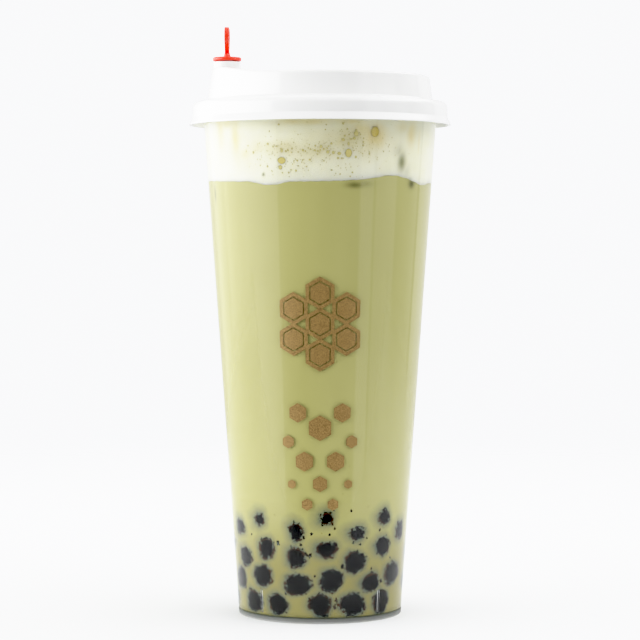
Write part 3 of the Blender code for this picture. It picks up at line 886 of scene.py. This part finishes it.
# Green stains and painted shade on the foam's side: angle, height, half width, half height, strength.
FOAM_STAIN_AND_SHADE_MARKS = (
    (14, 172.5, 12.0, 4.0, 0.7), (24, 170.5, 6.0, 4.5, 0.6), (24, 175.0, 5.0, 3.0, 0.7),
    (0, 168.5, 10.0, 3.0, 0.5), (-18, 169.5, 7.0, 2.5, 0.6), (-10, 178, 14.0, 3.0, 0.15),
    (-32, 170, 4.0, 2.5, 0.35), (36, 171, 5.0, 4.0, 0.15), (140, 176, 14, 5, 0.7),
    (-130, 174, 12, 7, 0.6), (178, 177, 10, 5, 0.5),
)
# Golden stains where the tea has run down inside the wall.
FOAM_GOLD = (
    (-58, 175.5, 2.3, 5.5, 0.65), (-46, 173.5, 2.2, 7.0, 0.6), (-52, 178.5, 5.0, 1.6, 0.4),
    (-40, 167.5, 3.0, 2.0, 0.35), (51, 175, 2.4, 4.5, 0.6), (45, 177.5, 4.0, 2.0, 0.35),
    (28.5, 174.3, 3.8, 3.6, 0.9), (22, 176.0, 5.0, 2.4, 0.55), (-8, 178.8, 12.0, 1.2, 0.5),
    (14, 178.8, 6.0, 1.0, 0.45), (58, 172, 0.6, 4.0, 0.4),
)
# Dark spots of tea that shows through the foam.
FOAM_SPOTS = (
    (44.9, 165.0, 1.9, 3.2, 0.8), (42.6, 168.6, 2.2, 2.4, 0.3), (48.8, 161.4, 2.0, 2.8, 0.22),
    (-29.3, 160.4, 0.55, 0.6, 0.95), (51.6, 158.2, 1.6, 1.3, 0.6),
)
# Whipped milk foam: matt, soft, pale cream, with light that spreads under its skin, and tea stains and
# painted shade in it.
milk_foam = new_material("milk_foam_whipped")
place = own_place(milk_foam)
curd = swells(milk_foam, place, 120.0, 4.0, 0.6)
cream = ramp(milk_foam, curd, ((0.3, colour("EDE9CC")), (0.7, colour("F3F0D9"))))
cloud = mapped(milk_foam, swells(milk_foam, place, 240.0, 4.0), 0.3, 0.7, 0.55, 1.0)
stain = calculate(milk_foam, "MULTIPLY", attribute(milk_foam, "stain"), cloud)
gold = calculate(milk_foam, "MULTIPLY", attribute(milk_foam, "gold"), cloud)
froth_cells = add_node(milk_foam, "TexVoronoi", {"Vector": place, "Scale": 950.0})
froth_dots = mapped(milk_foam, froth_cells, 0.1, 0.3, 1.0, 0.0)
froth = calculate(milk_foam, "MULTIPLY", calculate(milk_foam, "MULTIPLY", froth_dots, stain), 0.35)
tea_spots = attribute(milk_foam, "dark_spot")
# Over the cream go the stains with their painted shade, golden tea, froth and dark tea spots.
foam_tint = cream
for share, tone in ((stain, "D6C98C"), (gold, "E0C872"), (froth, "9C8E48"), (tea_spots, "6A6C38")):
    foam_tint = blend(milk_foam, share, foam_tint, colour(tone))
surface(milk_foam, {
    "Base Color": foam_tint,
    "Roughness": 0.7,
    "Specular IOR Level": 0.1,
    "Subsurface Weight": 0.9,
    "Subsurface Radius": (0.005, 0.0048, 0.0038),
    "Subsurface Scale": 1.0,
})

foam_radius = inner_radius(FOAM_TOP) + FOAM_REACH
foam_outline = [(0, FOAM_TOP)] + [(foam_radius * share, FOAM_TOP) for share in FOAM_RINGS]
foam_outline += [(inner_radius(z) + FOAM_REACH, z) for z in between(FOAM_TOP, DRINK_TOP, 48)]
foam = on_lathe("milk_foam", foam_outline + drink_top, FOAM_SIDES)
points = read_points(foam)
for point in points:
    if point[2] < FOAM_TOP - 0.01:
        follow_edge(point, CALM_ABOVE_EDGE, FOAM_REACH)
    elif math.hypot(point[0], point[1]) < foam_radius * 0.95:
        point[2] -= DENT_DEPTH * abs(noise.noise(Vector(point) / DENT_WIDTH)) + FOAM_SINK
set_points(foam, points)
mark(foam, stain=smears(points, FOAM_STAIN_AND_SHADE_MARKS), gold=smears(points, FOAM_GOLD))
mark(foam, dark_spot=smears(points, FOAM_SPOTS), bubble_gold=0.0, bubble_rim=0.0)
# Tea seen through a bubble: olive to golden, with a painted shade along one side of the rim where the film
# curves away.
bubble_film = new_material("matcha_behind_bubble")
bubble_tint = blend(bubble_film, attribute(bubble_film, "bubble_gold"), colour("D0CB99"), colour("C6B058"))
bubble_colour = blend(bubble_film, attribute(bubble_film, "bubble_rim"), bubble_tint, colour("ACA05C"))
surface(bubble_film, {"Base Color": bubble_colour, "Roughness": 0.35, "Specular IOR Level": 0.2})
# Air bubbles that lean on the wall, as shallow discs that sink into the foam at their rims, listed from the
# photo: column, row and radius in pixels, and how golden the tea behind them is.
LARGE_BUBBLES = (
    (375.7, 131.4, 5.0, 1), (348.9, 152.9, 4.0, 0.55), (281.1, 160.2, 3.9, 0.7), (279.9, 167.1, 2.2, 0.5),
    (356.6, 133.3, 2.6, 0.45), (339.6, 153.3, 1.9, 0.45), (343.6, 139.5, 1.8, 0.5),
    (354.6, 138.3, 1.7, 0.45),
)
# Small ones, all of the same tone, listed from an enlarged crop of the photo: column, row and radius there.
CROP_COLUMN = 190
CROP_ROW = 20
CROP_ENLARGED = 6.03
PIXEL_SIZE = 0.352
SMALL_BUBBLES = (
    (465, 745, 8), (497, 762, 6), (520, 760, 6), (545, 775, 6), (550, 790, 10), (575, 790, 7), (590, 785, 5),
    (612, 775, 6), (612, 797, 5), (650, 795, 5), (680, 785, 8), (695, 790, 5), (712, 770, 5), (725, 778, 5),
    (752, 785, 7), (755, 757, 6), (770, 790, 6), (768, 808, 5), (790, 762, 10), (785, 783, 6), (806, 778, 6),
    (832, 795, 10), (835, 760, 5), (853, 743, 8), (865, 798, 10), (893, 832, 8), (917, 833, 6),
    (925, 752, 5), (935, 697, 7), (950, 658, 6), (958, 745, 10), (962, 690, 6), (975, 718, 7),
    (1005, 663, 8), (1003, 740, 5), (1002, 825, 8), (1030, 690, 5), (1048, 735, 7), (1048, 755, 7),
    (1050, 713, 6), (1085, 805, 7), (1105, 735, 4), (722, 842, 7), (703, 883, 5), (678, 843, 5),
    (645, 847, 6), (593, 920, 6), (607, 902, 5), (637, 908, 7), (650, 878, 5), (555, 920, 5), (465, 882, 7),
    (420, 875, 5), (378, 797, 8), (335, 790, 5), (855, 903, 6), (880, 925, 4), (907, 928, 5), (895, 878, 4),
    (968, 942, 5), (982, 918, 6), (808, 848, 5), (532, 630, 7), (475, 670, 5), (650, 690, 4), (925, 622, 7),
    (822, 630, 5), (817, 660, 5), (1205, 750, 4), (345, 757, 5),
)
SMALL_GOLD = 0.4
FINE_GOLD = 0.35
# How deep a bubble's rim and its middle reach into the cup's wall, and how strong the painted shade on its
# rim is.
RIM_REACH = 0.05
BUBBLE_REACH = 0.16
RIM_SHADE = 0.6
# The widths of the rings in a disc of radius 1, from its rim inward.
DISC_STEPS = (0.14, 0.16, 0.2)
# Fine froth in two drifts: how many bubbles, the first drift's share, and the middle angle and height of each
# with their spreads.
FINE_BUBBLES = 300
FIRST_DRIFT_SHARE = 0.6
DRIFTS = ((14, 170.0, 12, 4.2), (-18, 167.5, 9, 3.5))
BACK_BUBBLES = 60
bubble_list = []
for column, row, radius, gold_share in LARGE_BUBBLES:
    bubble_list.append((*seen_at(column, row), round(radius * PIXEL_SIZE, 2), gold_share))
for column, row, radius in SMALL_BUBBLES:
    spot = seen_at(CROP_COLUMN + column / CROP_ENLARGED, CROP_ROW + row / CROP_ENLARGED)
    bubble_list.append((*spot, round(radius / CROP_ENLARGED * PIXEL_SIZE, 2), SMALL_GOLD))
for _ in range(FINE_BUBBLES):
    centre, level, spread, tall = DRIFTS[0 if draw.random() < FIRST_DRIFT_SHARE else 1]
    height = min(178.5, max(159.5, draw.gauss(level, tall)))
    bubble_list.append((draw.gauss(centre, spread), height, draw.uniform(0.1, 0.22), FINE_GOLD))
for _ in range(BACK_BUBBLES):
    bubble_list.append((draw.uniform(80, 280), draw.uniform(161, 178), draw.uniform(0.2, 0.7), SMALL_GOLD))
bubble_discs = []
for angle, height, radius, gold in bubble_list:
    sides = 28 if radius > 1.2 else 18 if radius > 0.5 else 10
    bpy.ops.object.select_all(action="DESELECT")
    bpy.ops.mesh.primitive_circle_add(vertices=sides, radius=1.0, fill_type="TRIFAN")
    disc = bpy.context.active_object
    edit("FACE")
    for inset in DISC_STEPS:
        bpy.ops.mesh.inset(thickness=inset)
    bpy.ops.object.mode_set(mode="OBJECT")
    flat = read_points(disc) * MM
    from_middle = np.hypot(flat[:, 0], flat[:, 1])
    stretch = draw.uniform(0.85, 1.15)
    around = math.radians(angle) + flat[:, 0] * radius * stretch / inner_radius(height)
    points = on_wall(around, 0.0, 0.0, height + flat[:, 1] * radius / stretch)
    reach = wall_radii(points) + np.where(from_middle > 0.95, RIM_REACH, BUBBLE_REACH)
    set_points(disc, on_wall(around, reach, 0.0, points[:, 2]))
    # A painted shade on the upper left of the rim.
    shaded_rim_side = np.clip((flat[:, 1] - flat[:, 0]) * 0.8, 0, 1) * (from_middle > 0.6)
    mark(disc, bubble_gold=gold, bubble_rim=shaded_rim_side * RIM_SHADE, stain=0.0, gold=0.0, dark_spot=0.0)
    disc.data.materials.append(bubble_film)
    bubble_discs.append(disc)
foam.data.materials.append(milk_foam)
join([foam] + bubble_discs)
shade_round(foam, 40)
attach(foam, "root")
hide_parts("foam")


# The lid: white polypropylene, injection moulded, snapped over the cup's lip by a bead inside its skirt.
# Its raised body has a rim that climbs to a sip spout, whose round collar holds the stopper.
LID_SIDES = 240
SKIRT_BOTTOM = 179.3
SKIRT_RADIUS = 48.1
RING_RADIUS = 46.85
RING_TOP = 187.9
BODY_FOOT_RADIUS = 41.4
BODY_TOP_RADIUS = 40.2
RIM_TOP = 197.1
RIM_INNER_RADIUS = 37.0
PANEL_TOP = 194.6
LID_WALL = 1.0
# Rings of the flat panel, close enough for the platform that rises round the spout.
PANEL_RINGS = (0, 10, 17, 21, 24, 27, 30, 33)
# The spout: how far the rim leans in and climbs there, up to which angle in full and where it ends, and the
# platform and the collar that carry the stopper.
RIM_LEAN = 0.45
SPOUT_LIFT = 2.9
SPOUT_FULL_ANGLE = 15.0
SPOUT_END_ANGLE = 65.0
SPOUT_X = -34.1
PLATFORM_RISE = 5.3
PLATFORM_FLAT = 7.0
PLATFORM_END = 16.0
COLLAR_RADIUS = 5.0
COLLAR_TOP = 202.7
SIP_HOLE_RADIUS = 3.8


def smooth_step(low, high, value):
    """A share from 0 to 1 that eases in and out between two values."""
    share = limited((value - low) / (high - low))
    return share * share * (3 - 2 * share)


# Corners of the outline as radius, height and rounding: over the panel, rim, body, ring and skirt, and back
# inside past the bead that grips the lip.
lid_corners = [(radius, PANEL_TOP, 0) for radius in PANEL_RINGS] + [
    (RIM_INNER_RADIUS - 0.8, PANEL_TOP, 0.9),
    (RIM_INNER_RADIUS, RIM_TOP, 0.5),
    (BODY_TOP_RADIUS - 0.1, RIM_TOP, 1.0),
    (BODY_FOOT_RADIUS, RING_TOP + 0.1, 0.8),
    (RING_RADIUS - 0.1, RING_TOP - 0.1, 3.4),
    (RING_RADIUS, SKIRT_BOTTOM + 2.7, 0.35),
    (SKIRT_RADIUS - 0.1, SKIRT_BOTTOM + 0.5, 0.4),
    (SKIRT_RADIUS, SKIRT_BOTTOM, 0.2),
    (SKIRT_RADIUS - LID_WALL, SKIRT_BOTTOM, 0.2),
    (RING_RADIUS - LID_WALL, SKIRT_BOTTOM + 2.9, 0.6),
    (RING_RADIUS - LID_WALL, SKIRT_BOTTOM + 4.2, 0.3),
    (LIP_RADIUS - 0.3, SKIRT_BOTTOM + 4.9, 0.4),
    (RING_RADIUS - LID_WALL, SKIRT_BOTTOM + 5.5, 0.3),
    (RING_RADIUS - LID_WALL, LIP_TOP + 0.3, 1.4),
    (BODY_FOOT_RADIUS - LID_WALL, LIP_TOP + 0.3, 0.6),
    (BODY_TOP_RADIUS - LID_WALL, RIM_TOP - LID_WALL, 0.5),
    (RIM_INNER_RADIUS + LID_WALL, RIM_TOP - LID_WALL, 0.4),
    (RIM_INNER_RADIUS + 0.2, PANEL_TOP - LID_WALL, 0.5),
] + [(radius, PANEL_TOP - LID_WALL, 0) for radius in reversed(PANEL_RINGS)]
lid = on_lathe("sip_lid", rounded(lid_corners, steps=6), LID_SIDES)
points = read_points(lid)
for point in points:
    radius = math.hypot(point[0], point[1])
    past_spout = abs(turn_from(-90, wall_angle(point)))
    rim_lift = SPOUT_LIFT * (1 - smooth_step(SPOUT_FULL_ANGLE, SPOUT_END_ANGLE, past_spout))
    from_spout = math.hypot(point[0] - SPOUT_X, point[1])
    panel_lift = PLATFORM_RISE * (1 - smooth_step(PLATFORM_FLAT, PLATFORM_END, from_spout))
    wall_share = limited((point[2] - RING_TOP) / (RIM_TOP - LID_WALL - RING_TOP))
    panel_share = smooth_step(RIM_INNER_RADIUS, RIM_INNER_RADIUS - 1.0, radius)
    if radius < RIM_INNER_RADIUS + 0.6 and abs(point[2] - PANEL_TOP + LID_WALL / 2) < LID_WALL:
        panel_share = 1.0
    point[2] += rim_lift * wall_share * (1 - panel_share) + panel_lift * panel_share
    if radius > RIM_INNER_RADIUS:
        point[:2] *= 1 - RIM_LEAN * rim_lift / SPOUT_LIFT * wall_share / radius
set_points(lid, points)
collar_corners = [
    (0, COLLAR_TOP, 0),
    (COLLAR_RADIUS, COLLAR_TOP, 0.4),
    (COLLAR_RADIUS, COLLAR_TOP - 4.5, 0.2),
    (0, COLLAR_TOP - 4.5, 0),
]
combine(lid, on_lathe("collar", rounded(collar_corners, steps=4), 72, SPOUT_X), "UNION")
hole_outline = [(0, 210), (SIP_HOLE_RADIUS, 210), (SIP_HOLE_RADIUS, RING_TOP), (0, RING_TOP)]
combine(lid, on_lathe("sip_hole", hole_outline, 72, SPOUT_X), "DIFFERENCE")

# White polypropylene moulded against polished steel: opaque, slightly warm, with a clear, sharp gloss.
white_plastic = new_material("white_polypropylene_moulded")
flow = swells(white_plastic, own_place(white_plastic), 90.0, 2.0)
surface(white_plastic, {
    "Base Color": colour("F2F2F0"),
    "Roughness": mapped(white_plastic, flow, 0.0, 1.0, 0.02, 0.05),
    "IOR": 1.49,
    "Coat Weight": 0.6,
    "Coat Roughness": 0.02,
    "Subsurface Weight": 0.3,
    "Subsurface Radius": (0.003, 0.003, 0.0028),
    "Normal": bump(white_plastic, flow, 0.02, 0.0003),
})
cover(lid, white_plastic, 40)
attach(lid, "root")
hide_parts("lid")


# The stopper: red polyethylene, moulded in one piece. Its shank plugs the sip hole, its disc seats on the
# collar, and a thin heart-shaped tab, seen edge-on from the front, is there to pull it out by.
DISC_RADIUS = 5.2
DISC_BOTTOM = 203.0
DISC_TOP = 204.3
SHANK_BOTTOM = 196.0
SHANK_RADIUS = SIP_HOLE_RADIUS - 0.3
TAB_TOP = 215.1
TAB_THICKNESS = 1.5
HEART_POINTS = 96
# The heart's raised rim, as two steps in from its outline: the share of its size and how deep.
TAB_RIM = ((0.84, 0.0), (0.96, 0.2))
TAB_ROUNDING = 0.22
NECK_RADII = (1.45, 0.8)
NECK_LENGTH = 2.2
plug_corners = [
    (0, DISC_TOP + 0.1, 0),
    (DISC_RADIUS, DISC_TOP, 0.6),
    (DISC_RADIUS, DISC_BOTTOM, 0.35),
    (SHANK_RADIUS, DISC_BOTTOM, 0.2),
    (SHANK_RADIUS, SHANK_BOTTOM, 0.9),
    (0, SHANK_BOTTOM, 0),
]
plug = on_lathe("red_stopper", rounded(plug_corners, steps=5), 96, SPOUT_X)
bpy.ops.object.select_all(action="DESELECT")
bpy.ops.mesh.primitive_circle_add(vertices=HEART_POINTS, radius=MM, fill_type="NGON")
tab = bpy.context.active_object
heart_low = DISC_TOP - 0.6
heart_curve = []
for number in range(HEART_POINTS):
    turn = math.tau * number / HEART_POINTS
    up = 13 * math.cos(turn) - 5 * math.cos(2 * turn) - 2 * math.cos(3 * turn) - math.cos(4 * turn)
    heart_curve.append((16 * math.sin(turn) ** 3, up))
curve_low = min(up for _, up in heart_curve)
curve_high = max(up for _, up in heart_curve)
heart_size = (TAB_TOP - heart_low) / (curve_high - curve_low)
for vertex, (across, up) in zip(tab.data.vertices, heart_curve):
    height = heart_low + (up - curve_low) * heart_size
    vertex.co = Vector((SPOUT_X - TAB_THICKNESS / 2, across * heart_size, height)) * MM
bpy.ops.object.mode_set(mode="EDIT")
bpy.ops.mesh.select_all(action="SELECT")
bpy.ops.mesh.extrude_region_move(TRANSFORM_OT_translate={"value": (TAB_THICKNESS * MM, 0, 0)})
face_outward()
for side in (1, -1):
    edit("FACE", "DESELECT")
    bpy.ops.object.mode_set(mode="OBJECT")
    for polygon in tab.data.polygons:
        polygon.select = polygon.normal.x * side > 0.9 and len(polygon.vertices) > 4
    bpy.ops.object.mode_set(mode="EDIT")
    heart_middle = (SPOUT_X * MM, 0, (heart_low + 0.55 * (TAB_TOP - heart_low)) * MM)
    for share, sink in TAB_RIM:
        bpy.ops.mesh.extrude_region_move(TRANSFORM_OT_translate={"value": (-sink * side * MM, 0, 0)})
        bpy.ops.transform.resize(value=(1, share, share), center_override=heart_middle)
    bpy.ops.object.mode_set(mode="OBJECT")
tab_edges = tab.modifiers.new("Rounded edges", "BEVEL")
tab_edges.width = TAB_ROUNDING * MM
tab_edges.segments = 3
tab_edges.limit_method = "ANGLE"
tab_edges.angle_limit = math.radians(50)
bpy.ops.object.modifier_apply(modifier=tab_edges.name)
bpy.ops.object.select_all(action="DESELECT")
bpy.ops.mesh.primitive_cone_add(vertices=40, radius1=NECK_RADII[0] * MM, radius2=NECK_RADII[1] * MM,
                                depth=NECK_LENGTH * MM, scale=(1, 1.5, 1),
                                location=(SPOUT_X * MM, 0, (DISC_TOP + 0.9) * MM))
neck = bpy.context.active_object
bpy.ops.object.transform_apply(location=True, rotation=False, scale=True)
join([plug, tab, neck])

# Red polyethylene: a strong warm red with a satin skin, a little light passing through its thin edges.
red_plastic = new_material("red_polyethylene_moulded")
grain = swells(red_plastic, own_place(red_plastic), 900.0, 2.0)
surface(red_plastic, {
    "Base Color": blend(red_plastic, grain, colour("FB4028"), colour("FF4E36")),
    "Roughness": 0.32,
    "IOR": 1.51,
    "Subsurface Weight": 0.4,
    "Subsurface Radius": (0.003, 0.0008, 0.0005),
    "Normal": bump(red_plastic, grain, 0.08, 0.0001),
})
cover(plug, red_plastic, 35)
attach(plug, "root")
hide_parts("plug")


# The table: a sheet of matt white paper that the cup stands on. It fades into the white backdrop all round,
# and between one and two hand's widths in front of the cup, so that the wall mirrors little of it.
bpy.ops.object.select_all(action="DESELECT")
bpy.ops.mesh.primitive_circle_add(vertices=96, radius=0.9, fill_type="NGON")
floor = bpy.context.active_object
floor.name = "studio_floor"
paper = new_material("white_paper_matt")
place = own_place(paper)
distance = add_node(paper, "VectorMath", {0: place}, operation="LENGTH").outputs["Value"]
fade = eased(paper, distance, 0.3, 0.85, 0.0, 1.0)
past_edge = eased(paper, split(paper, place)["Y"], -0.2, -0.075, 1.0, 0.0)
paper_shader = add_node(paper, "BsdfPrincipled",
                        {"Base Color": colour("FBFCFE"), "Roughness": 0.6, "Specular IOR Level": 0.3})
paper_mix = shader_mix(paper, calculate(paper, "MAXIMUM", fade, past_edge), paper_shader,
                       add_node(paper, "BsdfTransparent"))
add_node(paper, "OutputMaterial", {"Surface": paper_mix})
floor.data.materials.append(paper)


# The light: a white room, with a bright softbox on the left, a weaker one on the right and one overhead. In
# front, on the camera's side, the room is dim. What is seen past the cup is a plain white backdrop.
world = bpy.data.worlds.new("white_studio")
bpy.context.scene.world = world
world.use_nodes = True
world.node_tree.nodes.clear()
direction = split(world, add_node(world, "TexCoord").outputs["Generated"])
azimuth = calculate(world, "ARCTAN2", direction["X"], calculate(world, "MULTIPLY", direction["Y"], -1.0))
# Azimuth in degrees from the camera's side, positive to the right, and the room's brightness there.
PANEL_STOPS = (
    (-180, 1.0), (-150, 1.3), (-138, 2.7), (-117.5, 3.3), (-116.5, 4.0), (-88, 4.5), (-86, 4.9), (-68, 4.9),
    (-45, 3.1), (-44, 1.4), (-36, 0.8), (-20, 0.36), (41, 0.36), (43.5, 1.1), (57, 1.2), (58, 0.4), (59, 0.4),
    (60, 1.0), (85, 1.15), (87, 0.55), (120, 0.9), (122.5, 0.5), (124, 0.5), (126, 1.2), (180, 1.0),
)
PANEL_TOP_LIGHT = 5.0
panel_stops = []
for degrees, light in PANEL_STOPS:
    panel_stops.append(((degrees + 180) / 360, (light / PANEL_TOP_LIGHT,) * 3 + (1.0,)))
panels = ramp(world, mapped(world, azimuth, -math.pi, math.pi, 0.0, 1.0), panel_stops)
brightness = add_node(world, "Mix", {
    0: eased(world, direction["Z"], 0.42, 0.56, 1.0, 0.0),
    2: eased(world, direction["X"], 0.2, 0.8, 1.05, 3.5),
    3: calculate(world, "MULTIPLY", panels, PANEL_TOP_LIGHT),
})
# Below the table's level the room is darker on the left and a little brighter on the right.
low_light = mapped(world, direction["X"], -0.3, 0.7, 0.5, 1.15)
above_table = mapped(world, direction["Z"], -0.17, 0.0, low_light, 1.0)
room_light = add_node(world, "Background", {
    "Color": (0.985, 0.99, 1.0, 1.0),
    "Strength": calculate(world, "MULTIPLY", brightness, above_table),
})
backdrop = add_node(world, "Background", {"Color": (0.90, 0.915, 0.95, 1.0), "Strength": 1.38})
world_ray = add_node(world, "LightPath").outputs
seen = calculate(world, "MAXIMUM", world_ray["Is Camera Ray"], world_ray["Is Transmission Ray"])
add_node(world, "OutputWorld", {"Surface": shader_mix(world, seen, room_light, backdrop)})


# The camera stands a little above the middle of the cup and a long lens away, and looks slightly down.
CAMERA_DISTANCE = 0.8694
CAMERA_HEIGHT = 0.1359
CAMERA_PITCH = 1.848
PICTURE_WIDTH = 640
FOCAL_PIXELS = 2360.2
SENSOR_WIDTH = 36.0
camera_data = bpy.data.cameras.new("camera")
camera_data.sensor_width = SENSOR_WIDTH
camera_data.lens = FOCAL_PIXELS * SENSOR_WIDTH / PICTURE_WIDTH
camera_data.clip_start = 0.01
camera = bpy.data.objects.new("camera", camera_data)
camera.location = (0, -CAMERA_DISTANCE, CAMERA_HEIGHT)
camera.rotation_euler = (math.radians(90 - CAMERA_PITCH), 0, 0)
bpy.context.scene.collection.objects.link(camera)
bpy.context.scene.camera = camera


# The picture is graded like a studio photograph: blacks set a little down, whites rolled off softly.
TONE_STOPS = ((0.9, 0.84), (1.1, 0.915), (1.4, 0.968), (2.0, 0.995), (4.0, 1.0))
grading = bpy.context.scene.view_settings
grading.view_transform = "Standard"
grading.use_curve_mapping = True
grading.curve_mapping.black_level = (0.031, 0.031, 0.031)
grading.curve_mapping.clip_max_x = 4.0
grading.curve_mapping.clip_max_y = 4.0
tone_curve = grading.curve_mapping.curves[3]
tone_curve.points[0].location = (0.0, 0.0)
tone_curve.points[1].location = (0.72, 0.72)
for scene_light, picture_light in TONE_STOPS:
    tone_curve.points.new(scene_light, picture_light)
grading.curve_mapping.update()
